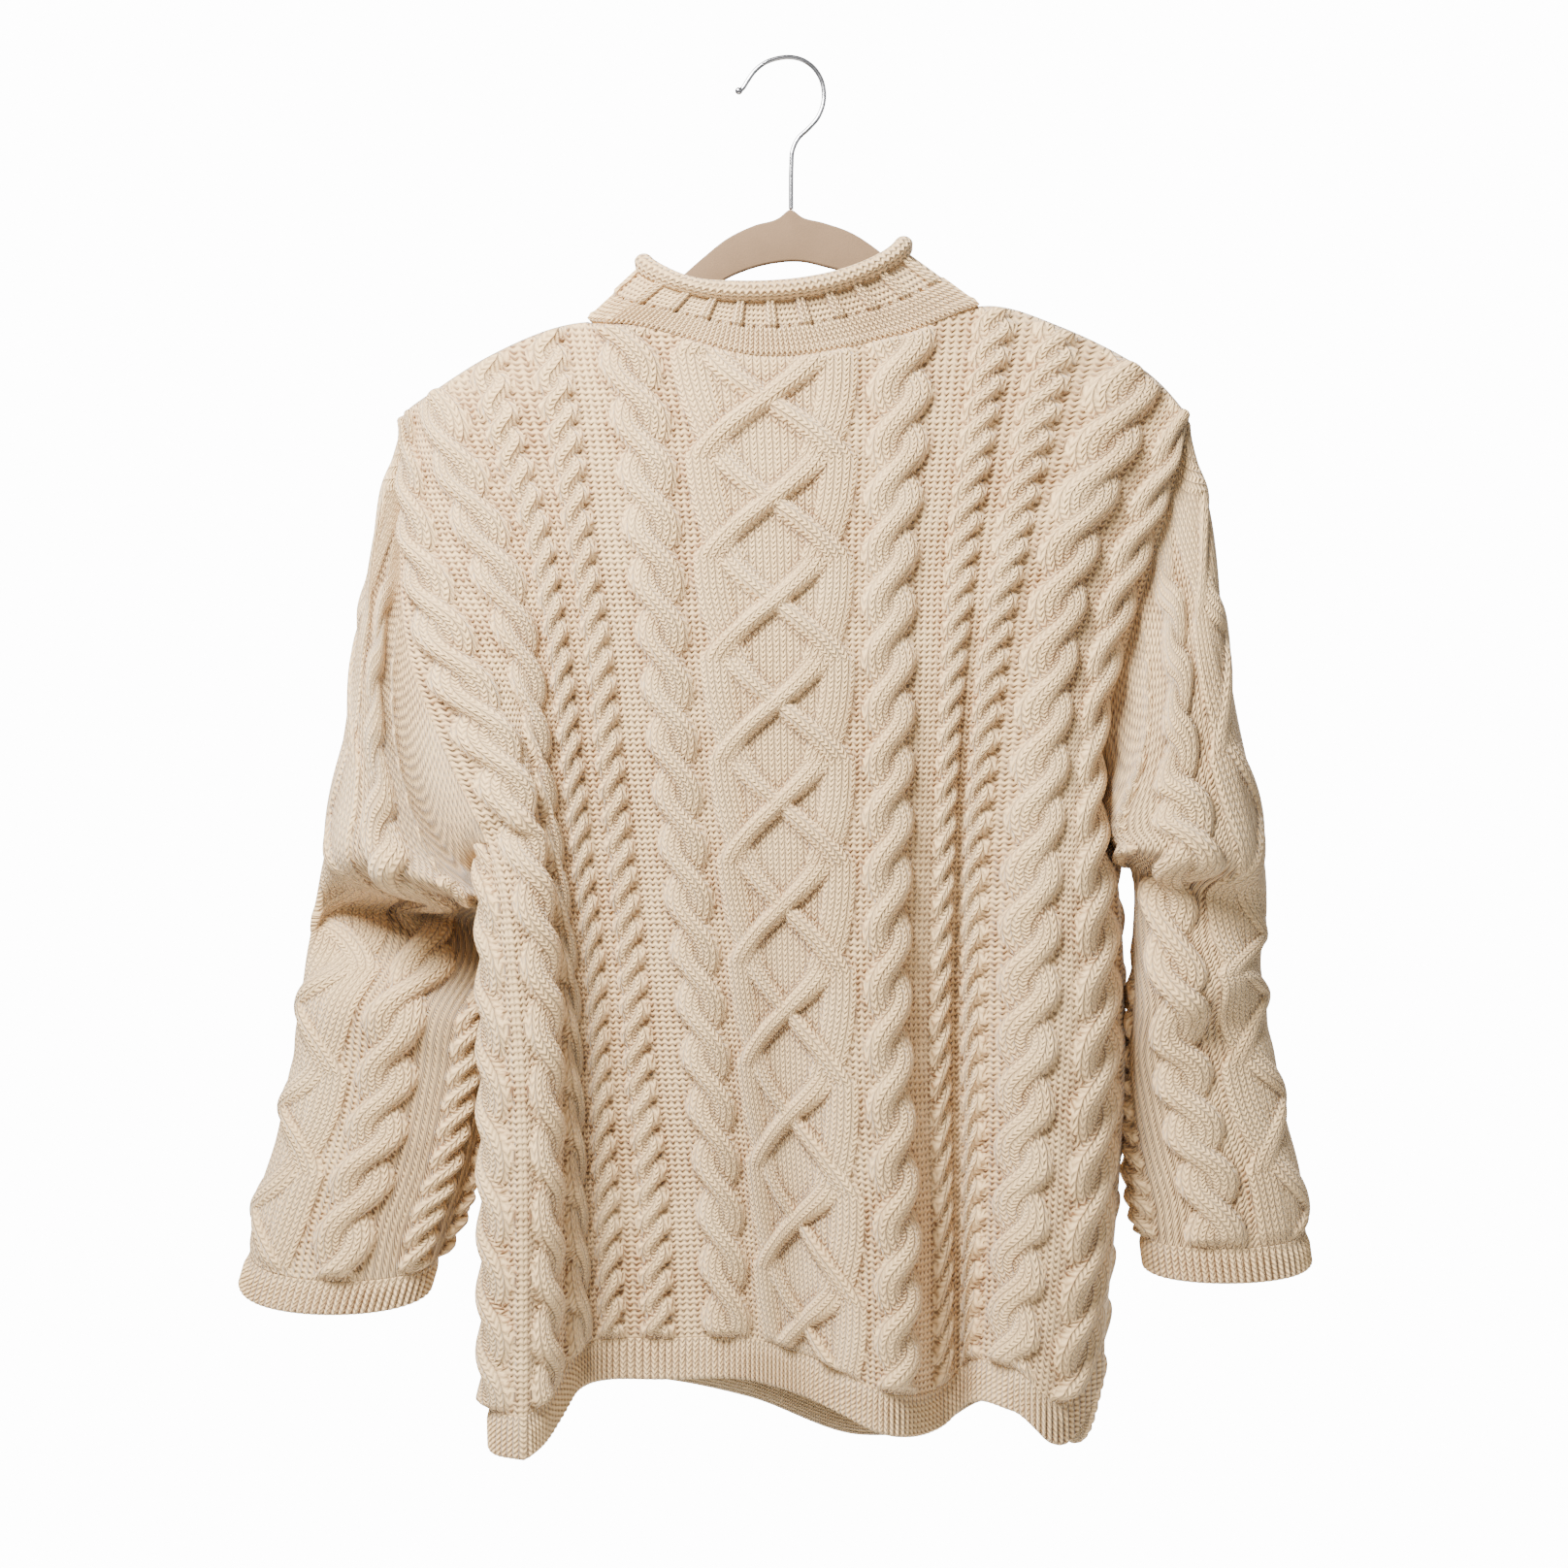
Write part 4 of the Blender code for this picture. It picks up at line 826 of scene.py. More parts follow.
def sleeve_surface(sections, side, rows, step):
    """Middle points of a sleeve, its directions out and its flat places."""
    table = np.array(sections, float)
    rim, pit = arm_ring(side, step)
    around = len(rim)
    mx, mz = table[:, 4], table[:, 5]
    run = np.concatenate([[0], np.cumsum(np.hypot(np.diff(mx), np.diff(mz)) + 5.0)])
    blended = int(rows * BLEND_SHARE)
    at = np.linspace(0, run[-1], rows - blended)
    value = [spline(run, column, at) for column in table.T]
    far_bow = np.interp(at, run, np.clip(1 - (np.arange(len(table)) - 2) / 5.0, -0.2, 1))
    rings = [rim] + [sleeve_ring(section, around) for section in zip(*value, far_bow)]
    first = rings[1]
    swell = np.array([side * SEAM_SWELL, 0, 0])
    rings[1:1] = [rim + (first - rim) * k / blended + swell * math.sin(math.pi * k / blended)
                  for k in range(1, blended)]
    grid = smoothed(np.array(rings), 12)
    chord = np.abs(grid[:, around // 2] - grid[:, 0])
    square = np.stack([chord[:, 2] * side, 0 * chord[:, 0], -chord[:, 0]], axis=-1)[:, None]
    steady = STEADY * np.clip((np.arange(rows) - 1) / (blended - 1), 0, 1)[:, None, None]
    down = unit(np.gradient(grid, axis=0)) + steady * unit(square)
    turn = unit(np.roll(grid, -2, axis=1) - np.roll(grid, 2, axis=1))
    out = unit(np.cross(turn, down))
    middle = grid.mean(axis=1, keepdims=True)
    if ((grid - middle) * out).sum() < 0:
        out = -out
    out = unit(smoothed(out, 14, 0))
    length = np.linalg.norm(np.roll(grid, -1, axis=1) - grid, axis=-1)
    round_length = length.sum(axis=1, keepdims=True)
    walked = np.concatenate([np.zeros((rows, 1)), np.cumsum(length, axis=1)[:, :-1]], axis=1)
    flat = np.where(walked > round_length / 2, walked - round_length, walked)
    fall = np.linalg.norm(np.diff(grid, axis=0), axis=-1).mean(axis=1)
    along = np.concatenate([[0], np.cumsum(fall)])[:, None] + 0 * flat
    return grid, out, flat, along, round_length, pit


def ring_at(ring, count):
    """Evenly spread points round a closed ring."""
    at = np.arange(count) / count * len(ring)
    whole = np.concatenate([ring, ring[:1]])
    return np.stack([np.interp(at, np.arange(len(whole)), whole[:, k]) for k in range(3)], axis=-1)


def knit_cuff(name, side, grid, out, length):
    """Ribbed band below a sleeve's last ring."""
    count = 560
    lean = unit((grid[-1] - grid[-6]).mean(axis=0))
    drops = np.linspace(-0.6, RIB_GAP + CUFF_TALL, 20)
    part = (drops / (RIB_GAP + CUFF_TALL))[:, None]
    ribs = round(length / RIB_PITCH)
    place_round = np.arange(count) / count * ribs
    rib = 0.5 + 0.5 * np.cos(2 * math.pi * place_round)
    middle = ring_at(grid[-1], count) + lean * drops[:, None, None]
    outer, inner, height = ribbed(middle, ring_at(out[-1], count), rib, part)
    across = np.broadcast_to(place_round * STITCH_WIDE, outer.shape[:2])
    u = join_round(quad_corners(across, True), ribs * STITCH_WIDE, STITCH_WIDE)
    v = quad_corners(np.broadcast_to(drops[:, None], outer.shape[:2]), True)
    # The relief given here, made deeper, only sets the painted shade between the ribs
    return knit_object("cuff_" + name + "_knitted", outer, inner, (u, v, np.ones(len(u))), True,
                       side < 0, BAND_EVERY, relief=3.0 * height)


def knit_sleeve(name, sections, side, fineness):
    """One sleeve, set on the armhole, and its cuff."""
    rows = int(500 / fineness)
    grid, out, flat, along, length, pit = sleeve_surface(sections, side, rows, fineness * 1.1)
    from_seam = length / 2 - np.abs(flat)
    bare = 1 - pit * np.clip(2.7 - along / 60.0, 0, 1)
    by_armhole = ease((np.abs(flat) - PLAIN_FROM[side]) / 30.0)
    by_armhole = by_armhole * (1 - ease((along - PLAIN_TO[side]) / 40.0))
    step = np.linalg.norm(np.gradient(grid, axis=0), axis=-1)
    pressed = step / step.mean(axis=1, keepdims=True)
    bare = bare * (1 - by_armhole) * ease((pressed - 0.25) / 0.4)
    ends = ease((along - 4.0) / 40.0) * ease((along[-1, 0] - along) / 8.0)
    fade = ease(from_seam / (26.0 - 18.0 * ease((along - 120.0) / 60.0))) * ends * bare
    fade = fade * (1 - EDGE_PRESS * ease((EDGE_HALF - np.abs(flat)) / 14.0))
    elbow = np.exp(-((along - ELBOW[side]) / 20.0) ** 2 - (flat / 40.0) ** 2)
    fade = fade * (1 - ELBOW_PRESS * elbow)
    waves = WAVE_SHARE * unevenness(flat, along) * ends * bare
    relief = cable_relief(flat, along) * fade + waves
    relief = relief + crease_depth(flat, along, SLEEVE_CREASES[side]) * ends * bare
    outer = grid + out * (WALL / 2 + relief[..., None])
    inner = grid - out * (WALL / 2)
    places = stitch_places(quad_corners(flat, True), quad_corners(along, True),
                           shown=quad_corners(bare, True).mean(axis=1),
                           ground=quad_corners(np.cumsum(step, axis=0), True))
    sleeve = knit_object("sleeve_" + name + "_knitted", outer, inner, places, True, side < 0,
                         relief=relief)
    cuff = knit_cuff(name, side, grid, out, float(length[-1, 0]))
    return sleeve, cuff, float(length.mean()), float(along[-1, 0]), float(length[-1, 0])


def neck_rings(levels, count):
    """Rings of the neck band at several levels, with their directions out."""
    steps = np.arange(count) / count * 2 * math.pi
    base = neckline(steps)
    top = collar_ring(1.0, steps)
    rings = np.array([base + (top - base) * level for level in levels])
    return rings, ring_out(rings)


def knit_neck_band():
    """Neck band: fine ribs below a row of holes, paired ribs above it."""
    count = 1080
    levels = np.linspace(-0.06, 1.0, 66)
    rings, out = neck_rings(levels, count)
    lengths = np.linalg.norm(np.roll(rings[30], -1, axis=0) - rings[30], axis=-1)
    total = lengths.sum()
    walked = np.concatenate([[0], np.cumsum(lengths)[:-1]])
    pitch = total / COLLAR_PAIRS
    place_pair = (walked / pitch + 0.5) % 1.0 * pitch - pitch / 2
    tall = float(np.linalg.norm(rings[-1] - rings[0], axis=-1).mean())
    level = np.array(levels)[:, None]
    column = 0.5 + 0.5 * np.cos(2 * math.pi * (place_pair / COLUMN_WIDE + 0.5))
    in_pair = ease((COLUMN_WIDE + 0.6 - np.abs(place_pair)) / 0.9)
    upper = in_pair * (2.1 + 1.0 * column)
    fine = round(total / FINE_PITCH)
    lower = 0.2 + 1.1 * (0.5 + 0.5 * np.cos(2 * math.pi * walked / total * fine))
    is_upper = ease((level - COLLAR_HOLES + 0.005) / 0.06)
    hole_across = (walked / (pitch / 3.0)) % 1.0 - 0.5
    hole = np.exp(-(hole_across * (pitch / 3.0) / 1.3) ** 2
                  - ((level - COLLAR_HOLES) * tall / 1.4) ** 2)
    seam = 0.9 * np.exp(-((level - 0.03) * tall / 1.6) ** 2)
    height = lower * (1 - is_upper) + upper * is_upper - 2.6 * hole + seam
    outer = rings + out * (WALL / 2 + height)[..., None]
    inner = rings - out * (WALL / 2)
    shape = outer.shape[:2]
    u_upper = np.broadcast_to(place_pair * STITCH_WIDE / COLUMN_WIDE + STITCH_WIDE / 2, shape)
    u_lower = np.broadcast_to(walked / total * fine * STITCH_WIDE, shape)
    v = quad_corners(np.broadcast_to(-level * tall, shape), True)
    middle_level = quad_corners(np.broadcast_to(level, shape), True).mean(axis=1)
    slack = 5 * STITCH_WIDE
    upper_u = join_round(quad_corners(u_upper, True), pitch * STITCH_WIDE / COLUMN_WIDE, slack)
    lower_u = join_round(quad_corners(u_lower, True), fine * STITCH_WIDE, slack)
    knit = quad_corners(np.broadcast_to(in_pair, shape), True).mean(axis=1) > 0.4
    high = middle_level > 0.5
    u = np.where(high[:, None], upper_u, lower_u)
    kind = np.where(high, knit * 1.0, 1.0)
    # The relief given here, made deeper, only sets the painted shade between the ribs and holes
    band = knit_object("collar_band_knitted", outer, inner, (u, v, kind), True, False, BAND_EVERY,
                       relief=2.5 * (height + 0 * rings[..., 0]))
    return band, total, tall


def knit_neck_roll():
    """Rolled edge of the neck band, its purl side out."""
    count = 900
    sides = 44
    rings, out = neck_rings((1.0, 0.9), count)
    up = unit(rings[0] - rings[1])
    centre = rings[0] + up * (COLLAR_ROLL - ROLL_SEAT) + out[0] * ROLL_OUT
    turn = np.arange(sides) / sides * 2 * math.pi
    # The roll's edge tucks in below, on the outside
    tuck = 1 - 0.10 * np.exp(-((turn - 5.3) / 0.35) ** 2)
    radius = (COLLAR_ROLL * tuck)[:, None]
    tube = centre[:, None] + radius * (np.cos(turn)[:, None] * out[0][:, None]
                                       + np.sin(turn)[:, None] * up[:, None])
    lengths = np.linalg.norm(np.roll(centre, -1, axis=0) - centre, axis=-1)
    total = lengths.sum()
    walked = np.concatenate([[0], np.cumsum(lengths)])
    stitches = round(total / ROLL_STITCH)
    u_line = walked / total * stitches * STITCH_WIDE
    i, j = np.meshgrid(np.arange(count), np.arange(sides), indexing="ij")
    k, m = (i + 1) % count, (j + 1) % sides
    quads = np.stack([i * sides + j, i * sides + m, k * sides + m, k * sides + j], axis=-1)
    round_way = 2 * math.pi * COLLAR_ROLL / sides
    u = np.stack([u_line[i], u_line[i], u_line[i + 1], u_line[i + 1]], axis=-1).reshape(-1, 4)
    v = np.stack([j, j + 1, j + 1, j], axis=-1).reshape(-1, 4) * round_way
    mesh = bpy.data.meshes.new("collar_roll_knitted")
    mesh.from_pydata((tube.reshape(-1, 3) * MM).tolist(), [], quads.reshape(-1, 4).tolist())
    layer = mesh.uv_layers.new(name="Stitches")
    layer.data.foreach_set("uv", (np.stack([u, v], axis=-1) * MM).ravel())
    kind = mesh.attributes.new("knit", "FLOAT", "CORNER")
    kind.data.foreach_set("value", np.zeros(quads.size))
    return shown_object("collar_roll_knitted", mesh), total


# Hanger

def tube_object(name, rings):
    """Closed tube with domed or flat ends from rings of points."""
    count, around = rings.shape[:2]
    faces = [(i * around + j, i * around + (j + 1) % around, (i + 1) * around + (j + 1) % around,
              (i + 1) * around + j) for i in range(count - 1) for j in range(around)]
    faces.append(tuple(range(around))[::-1])
    faces.append(tuple((count - 1) * around + j for j in range(around)))
    mesh = bpy.data.meshes.new(name)
    mesh.from_pydata((rings.reshape(-1, 3) * MM).tolist(), [], faces)
    mesh.validate()
    return shown_object(name, mesh)


def flat_hanger():
    """Flat arch with soft edges and rounded shoulder ends."""
    band = np.array(HANGER_BAND, float)
    x = np.linspace(band[0, 0], band[-1, 0], 300)
    top = spline(band[:, 0], band[:, 1], x)
    bottom = spline(band[:, 0], band[:, 2], x)
    half = HANGER_THICK / 2
    turn = (np.arange(TUBE_SIDES) + 0.5) / TUBE_SIDES * 2 * math.pi
    rings = []
    for px, a, b in zip(x, top, bottom):
        soft = min(HANGER_SOFT, (b - a) * 0.3)
        y = np.sign(np.cos(turn)) * (half - soft) + soft * np.cos(turn)
        z = np.sign(np.sin(turn)) * ((b - a) / 2 - soft) + soft * np.sin(turn)
        rings.append(np.stack([np.full(TUBE_SIDES, px), y, -(a + b) / 2 + z], axis=-1))
    return tube_object("hanger_flocked", np.array(rings))


def wire_hook():
    """Bent wire hook with a ball on its end."""
    line = np.array(HOOK_LINE, float)
    run = np.concatenate([[0], np.cumsum(np.hypot(*np.diff(line, axis=0).T))])
    at = np.concatenate([np.linspace(0, 5.4, 16), np.linspace(6.0, run[-1], 220)])
    x = spline(run, line[:, 0], at)
    z = -spline(run, line[:, 1], at)
    tangent = unit(np.stack([np.gradient(x, at), 0 * x, np.gradient(z, at)], axis=-1))
    side = np.array([0, 1.0, 0])
    across = np.cross(side, tangent)
    ball = np.sqrt(np.clip(HOOK_BALL ** 2 - (at - HOOK_BALL) ** 2, 0.01, None))
    radius = np.where(at < HOOK_BALL, ball, np.maximum(ball, HOOK_WIRE))
    turn = np.arange(TUBE_SIDES) / TUBE_SIDES * 2 * math.pi
    rings = [np.array([px, 0, pz]) + r * (np.cos(turn)[:, None] * side + np.sin(turn)[:, None] * c)
             for px, pz, r, c in zip(x, z, radius, across)]
    return tube_object("hook_wire", np.array(rings))


# Surfaces

def maths(tree, operation, first, second=None, third=None):
    """Adds a Math node and returns its output; numbers are set on the node itself."""
    node = tree.nodes.new("ShaderNodeMath")
    node.operation = operation
    for socket, value in zip(node.inputs, (first, second, third)):
        if isinstance(value, (int, float)):
            socket.default_value = value
        elif value is not None:
            tree.links.new(value, socket)
    return node.outputs[0]


def noise(tree, vector, scale, **settings):
    """Adds a Noise Texture node on a vector and returns its output."""
    node = tree.nodes.new("ShaderNodeTexNoise")
    node.inputs["Scale"].default_value = scale
    for name, value in settings.items():
        node.inputs[name.capitalize()].default_value = value
    tree.links.new(vector, node.inputs["Vector"])
    return node.outputs["Fac"]


def mixed(tree, share, first, second):
    """Adds a colour mix and returns its output; the colours are plain values or outputs."""
    node = tree.nodes.new("ShaderNodeMix")
    node.data_type = "RGBA"
    for name, value in (("A", first), ("B", second)):
        if isinstance(value, bpy.types.NodeSocket):
            tree.links.new(value, node.inputs[name])
        else:
            node.inputs[name].default_value = (*value, 1.0)
    tree.links.new(share, node.inputs["Factor"])
    return node.outputs["Result"]


def attribute(tree, name):
    """Adds an Attribute node and returns its value."""
    node = tree.nodes.new("ShaderNodeAttribute")
    node.attribute_name = name
    return node.outputs["Fac"]


def new_material(name, settings):
    """Material with its shader's constants set: its tree, shader and places on the object."""
    mat = bpy.data.materials.new(name)
    mat.use_nodes = True
    tree = mat.node_tree
    shader = tree.nodes["Principled BSDF"]
    for socket, value in settings.items():
        shader.inputs[socket].default_value = value
    where = tree.nodes.new("ShaderNodeTexCoord").outputs["Object"]
    return mat, tree, shader, where


def bumpy(tree, shader, height, distance):
    """Gives a shader a relief in its surface, its depth in metres."""
    bump = tree.nodes.new("ShaderNodeBump")
    bump.inputs["Strength"].default_value = 1.0
    bump.inputs["Distance"].default_value = distance
    tree.links.new(height, bump.inputs["Height"])
    tree.links.new(bump.outputs["Normal"], shader.inputs["Normal"])


def stitch_group():
    """Group for the relief of stockinette and purl stitches on the stitch places, and their painted
    shade.
    """
    tree = bpy.data.node_groups.new("Knitted Stitches", "ShaderNodeTree")
    sockets = tree.interface
    sockets.new_socket(name="Places", in_out="INPUT", socket_type="NodeSocketVector")
    sockets.new_socket(name="Knit", in_out="INPUT", socket_type="NodeSocketFloat")
    for name, value in (("Stitch Width", STITCH_WIDE * MM), ("Stitch Height", STITCH_TALL * MM),
                        ("Purl Height", PURL_TALL * MM)):
        socket = sockets.new_socket(name=name, in_out="INPUT", socket_type="NodeSocketFloat")
        socket.default_value = value
    sockets.new_socket(name="Height", in_out="OUTPUT", socket_type="NodeSocketFloat")
    sockets.new_socket(name="Painted Stitch Shade", in_out="OUTPUT", socket_type="NodeSocketFloat")
    start = tree.nodes.new("NodeGroupInput").outputs
    end = tree.nodes.new("NodeGroupOutput").inputs
    split = tree.nodes.new("ShaderNodeSeparateXYZ")
    tree.links.new(start["Places"], split.inputs[0])

    def m(*values):
        return maths(tree, *values)

    # The yarn wanders a little, so no two stitches are quite alike
    wander = noise(tree, start["Places"], 210.0, detail=1.0)
    shift = m("MULTIPLY", m("SUBTRACT", wander, 0.5), 0.55)
    x = m("ADD", m("DIVIDE", split.outputs["X"], start["Stitch Width"]), m("MULTIPLY", shift, 0.35))
    y = m("ADD", m("DIVIDE", split.outputs["Y"], start["Stitch Height"]), shift)
    # Knit: two slanting legs with a groove between them
    fold = m("ABSOLUTE", m("SUBTRACT", m("FRACT", m("ADD", x, 0.5)), 0.5))
    groove = m("POWER", m("ABSOLUTE", m("SUBTRACT", m("MULTIPLY", fold, 4.0), 1.0)), 2.0)
    share = m("ADD", 0.45, m("MULTIPLY", m("GREATER_THAN", fold, 0.25), 0.55))
    leg = m("SUBTRACT", 1.0, m("MULTIPLY", groove, share))
    phase = m("ADD", y, m("MULTIPLY", fold, 1.5))
    wave = m("ADD", 0.5, m("MULTIPLY", m("COSINE", m("MULTIPLY", phase, 2 * math.pi)), 0.5))
    knit = m("MULTIPLY", m("POWER", m("MAXIMUM", leg, 0.0), 0.55),
             m("ADD", 0.42, m("MULTIPLY", m("POWER", m("MAXIMUM", wave, 0.0), 0.7), 0.58)))
    # Purl: bowed ridges with a pinhole between two loops
    row = m("ADD", m("DIVIDE", split.outputs["Y"], start["Purl Height"]), shift)
    sides = m("COSINE", m("MULTIPLY", x, 2 * math.pi))
    ridge = m("COSINE", m("MULTIPLY", m("ADD", row, m("MULTIPLY", sides, 0.2)), 2 * math.pi))
    ridge = m("POWER", m("ADD", 0.5, m("MULTIPLY", ridge, 0.499)), 0.7)
    pinhole = m("ADD", 0.675, m("MULTIPLY", sides, -0.325))
    purl = m("SUBTRACT", 1.0, m("MULTIPLY", m("SUBTRACT", 1.0, ridge), pinhole))
    height = m("ADD", m("MULTIPLY", knit, start["Knit"]),
               m("MULTIPLY", purl, m("SUBTRACT", 1.0, start["Knit"])))
    tree.links.new(height, end["Height"])
    # Painted shade between the stitches: strongest where the stitch relief is lowest
    tree.links.new(m("POWER", m("SUBTRACT", 1.0, m("MINIMUM", height, 1.0)), 1.6), end["Painted Stitch Shade"])
    return tree


def knit_material(name, colours):
    """Thick soft yarn: stitches, painted shade in the hollows, fibres and small changes of tone."""
    mat, tree, shader, where = new_material(name, {
        "Roughness": 0.88, "Sheen Weight": 0.35, "Sheen Roughness": 0.45,
        "Sheen Tint": (1.0, 0.93, 0.84, 1.0), "Specular IOR Level": 0.2})
    places = tree.nodes.new("ShaderNodeUVMap")
    places.uv_map = "Stitches"
    kind = attribute(tree, "knit")
    group = tree.nodes.new("ShaderNodeGroup")
    group.node_tree = bpy.data.node_groups.get("Knitted Stitches") or stitch_group()
    tree.links.new(places.outputs["UV"], group.inputs["Places"])
    tree.links.new(kind, group.inputs["Knit"])
    painted_hollow_shade = group.outputs["Painted Stitch Shade"]

    def m(*values):
        return maths(tree, *values)

    # Painted shade between the stitches, in the valleys beside the cables and a little on the purl
    # ground
    between = m("MULTIPLY", attribute(tree, "painted_hollow_shade"), m("ADD", 0.25, m("MULTIPLY", painted_hollow_shade, 1.6)))
    ground = m("MULTIPLY", m("SUBTRACT", 1.0, kind), 0.17)
    depth = m("ADD", m("ADD", m("MULTIPLY", painted_hollow_shade, 0.95), between), ground)
    yarn_with_painted_shade = mixed(tree, m("MINIMUM", depth, 1.0), colours.yarn, colours.yarn_painted_shade)
    shade = noise(tree, where, 26.0, detail=4.0)
    spots = m("MAXIMUM", m("MULTIPLY", m("SUBTRACT", shade, 0.42), 1.2), 0.0)
    tree.links.new(mixed(tree, spots, yarn_with_painted_shade, colours.yarn_light), shader.inputs["Base Color"])
    fibre = noise(tree, where, 1500.0, detail=3.0)
    relief = m("ADD", group.outputs["Height"], m("MULTIPLY", fibre, 0.22))
    bumpy(tree, shader, relief, STITCH_DEEP * MM)
    return mat


def flock_material(colours):
    """Short flocking: soft sheen, faint brushed patches."""
    mat, tree, shader, where = new_material("flocked_blush", {
        "Roughness": 0.95, "Sheen Weight": 0.7, "Sheen Roughness": 0.35,
        "Sheen Tint": (1.0, 0.86, 0.76, 1.0), "Specular IOR Level": 0.1})
    brushed = noise(tree, where, 45.0, detail=6.0, roughness=0.7)
    tree.links.new(mixed(tree, brushed, colours.flock, colours.flock_dark),
                   shader.inputs["Base Color"])
    bumpy(tree, shader, noise(tree, where, 2600.0), FLOCK_DEEP * MM)
    return mat


def wire_material(colours):
    """Bright plated wire with faint drawing marks."""
    mat, tree, shader, where = new_material("plated_wire", {
        "Base Color": (*colours.wire, 1.0), "Metallic": 1.0})
    marks = noise(tree, where, 420.0, detail=4.0)
    rough = maths(tree, "ADD", 0.10, maths(tree, "MULTIPLY", marks, 0.16))
    tree.links.new(rough, shader.inputs["Roughness"])
    return mat


def finish_piece(obj, node, material):
    """Gives a piece its surface and body, and lets it stand for its solid."""
    obj.data.materials.append(material)
    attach(obj, "root")
    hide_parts(node)


def finish_knit(obj, node):
    """Finishes a knitted piece in the yarn's colours."""
    colours = bpy.context.scene.sweater_colours
    finish_piece(obj, node, knit_material(node + "_yarn", colours))


# Add-on

class SweaterKnit(bpy.types.PropertyGroup):
    fineness: bpy.props.FloatProperty(
        name="Grid step", default=2.1, min=1.5, max=8.0,
        description="Distance between points of the knitted faces, in millimetres")


class SweaterColours(bpy.types.PropertyGroup):
    yarn: bpy.props.FloatVectorProperty(
        name="Yarn", description="Colour of the yarn", subtype="COLOR", size=3,
        default=(0.83, 0.57, 0.29), min=0.0, max=1.0)
    yarn_light: bpy.props.FloatVectorProperty(
        name="Light yarn", description="Colour of the lighter patches", subtype="COLOR", size=3,
        default=(0.89, 0.65, 0.355), min=0.0, max=1.0)
    # Painted shade: a dark yarn colour mixed in between the stitches and beside the cables,
    # standing in for their shadows
    yarn_painted_shade: bpy.props.FloatVectorProperty(
        name="Painted hollow shade", description="Colour between the stitches", subtype="COLOR", size=3,
        default=(0.24, 0.12, 0.05), min=0.0, max=1.0)
    flock: bpy.props.FloatVectorProperty(
        name="Flocking", description="Colour of the hanger's flocking", subtype="COLOR", size=3,
        default=(0.23, 0.15, 0.09), min=0.0, max=1.0)
    flock_dark: bpy.props.FloatVectorProperty(
        name="Brushed flocking", description="Colour where the flocking is brushed",
        subtype="COLOR", size=3, default=(0.17, 0.11, 0.065), min=0.0, max=1.0)
    wire: bpy.props.FloatVectorProperty(
        name="Wire", description="Colour of the hook's plating", subtype="COLOR", size=3,
        default=(0.46, 0.46, 0.48), min=0.0, max=1.0)


class SweaterStudio(bpy.types.PropertyGroup):
    view_distance: bpy.props.FloatProperty(
        name="View distance", description="Distance from the camera to the hanger", default=1.8,
        min=0.5, unit="LENGTH")
    view_width: bpy.props.FloatProperty(
        name="View width", description="Width seen at the hanger", default=0.9696, min=0.1,
        unit="LENGTH")
    key_power: bpy.props.FloatProperty(
        name="Key light", description="Power of the large soft lamp", default=101.0, min=0.0,
        unit="POWER")
    fill_power: bpy.props.FloatProperty(
        name="Fill light", description="Power of the lamp on the other side", default=7.0, min=0.0,
        unit="POWER")
    back_power: bpy.props.FloatProperty(
        name="Back light", description="Power of the lamp behind the sweater", default=125.0,
        min=0.0, unit="POWER")
    sky: bpy.props.FloatProperty(
        name="Sky", description="Strength of the even white light", default=0.355, min=0.0)


class SWEATER_OT_panels(bpy.types.Operator):
    """Knit the back and front panels and their ribbed hem"""
    bl_idname = "sweater.panels"
    bl_label = "Back, front and hem"

    def execute(self, context):
        scene = context.scene
        for name, piece in zip(("back", "front"), knit_panels(grid_step(scene))):
            finish_knit(piece, name)
        for is_front, name in ((0, "back"), (1, "front")):
            piece = hem_band(is_front)
            finish_knit(piece, "hem_rib_" + name)
        return {"FINISHED"}


class SWEATER_OT_sleeves(bpy.types.Operator):
    """Knit the two sleeves and their cuffs"""
    bl_idname = "sweater.sleeves"
    bl_label = "Sleeves and cuffs"

    def execute(self, context):
        scene = context.scene
        for name, sections, side in (("left", SLEEVE_LEFT, -1), ("right", SLEEVE_RIGHT, 1)):
            sleeve, cuff, wide, long, wrist = knit_sleeve(name, sections, side, grid_step(scene))
            finish_knit(sleeve, "sleeve_" + name)
            finish_knit(cuff, "cuff_" + name)
        return {"FINISHED"}


class SWEATER_OT_collar(bpy.types.Operator):
    """Knit the neck band and its rolled edge"""
    bl_idname = "sweater.collar"
    bl_label = "Neck band and roll"

    def execute(self, context):
        band, total, tall = knit_neck_band()
        finish_knit(band, "collar_band")
        roll, length = knit_neck_roll()
        finish_knit(roll, "collar_roll")
        return {"FINISHED"}


class SWEATER_OT_hanger(bpy.types.Operator):
    """Make the flocked hanger and its wire hook"""
    bl_idname = "sweater.hanger"
    bl_label = "Hanger and hook"

    def execute(self, context):
        colours = context.scene.sweater_colours
        finish_piece(flat_hanger(), "hanger_body", flock_material(colours))
        finish_piece(wire_hook(), "hanger_hook", wire_material(colours))
        return {"FINISHED"}


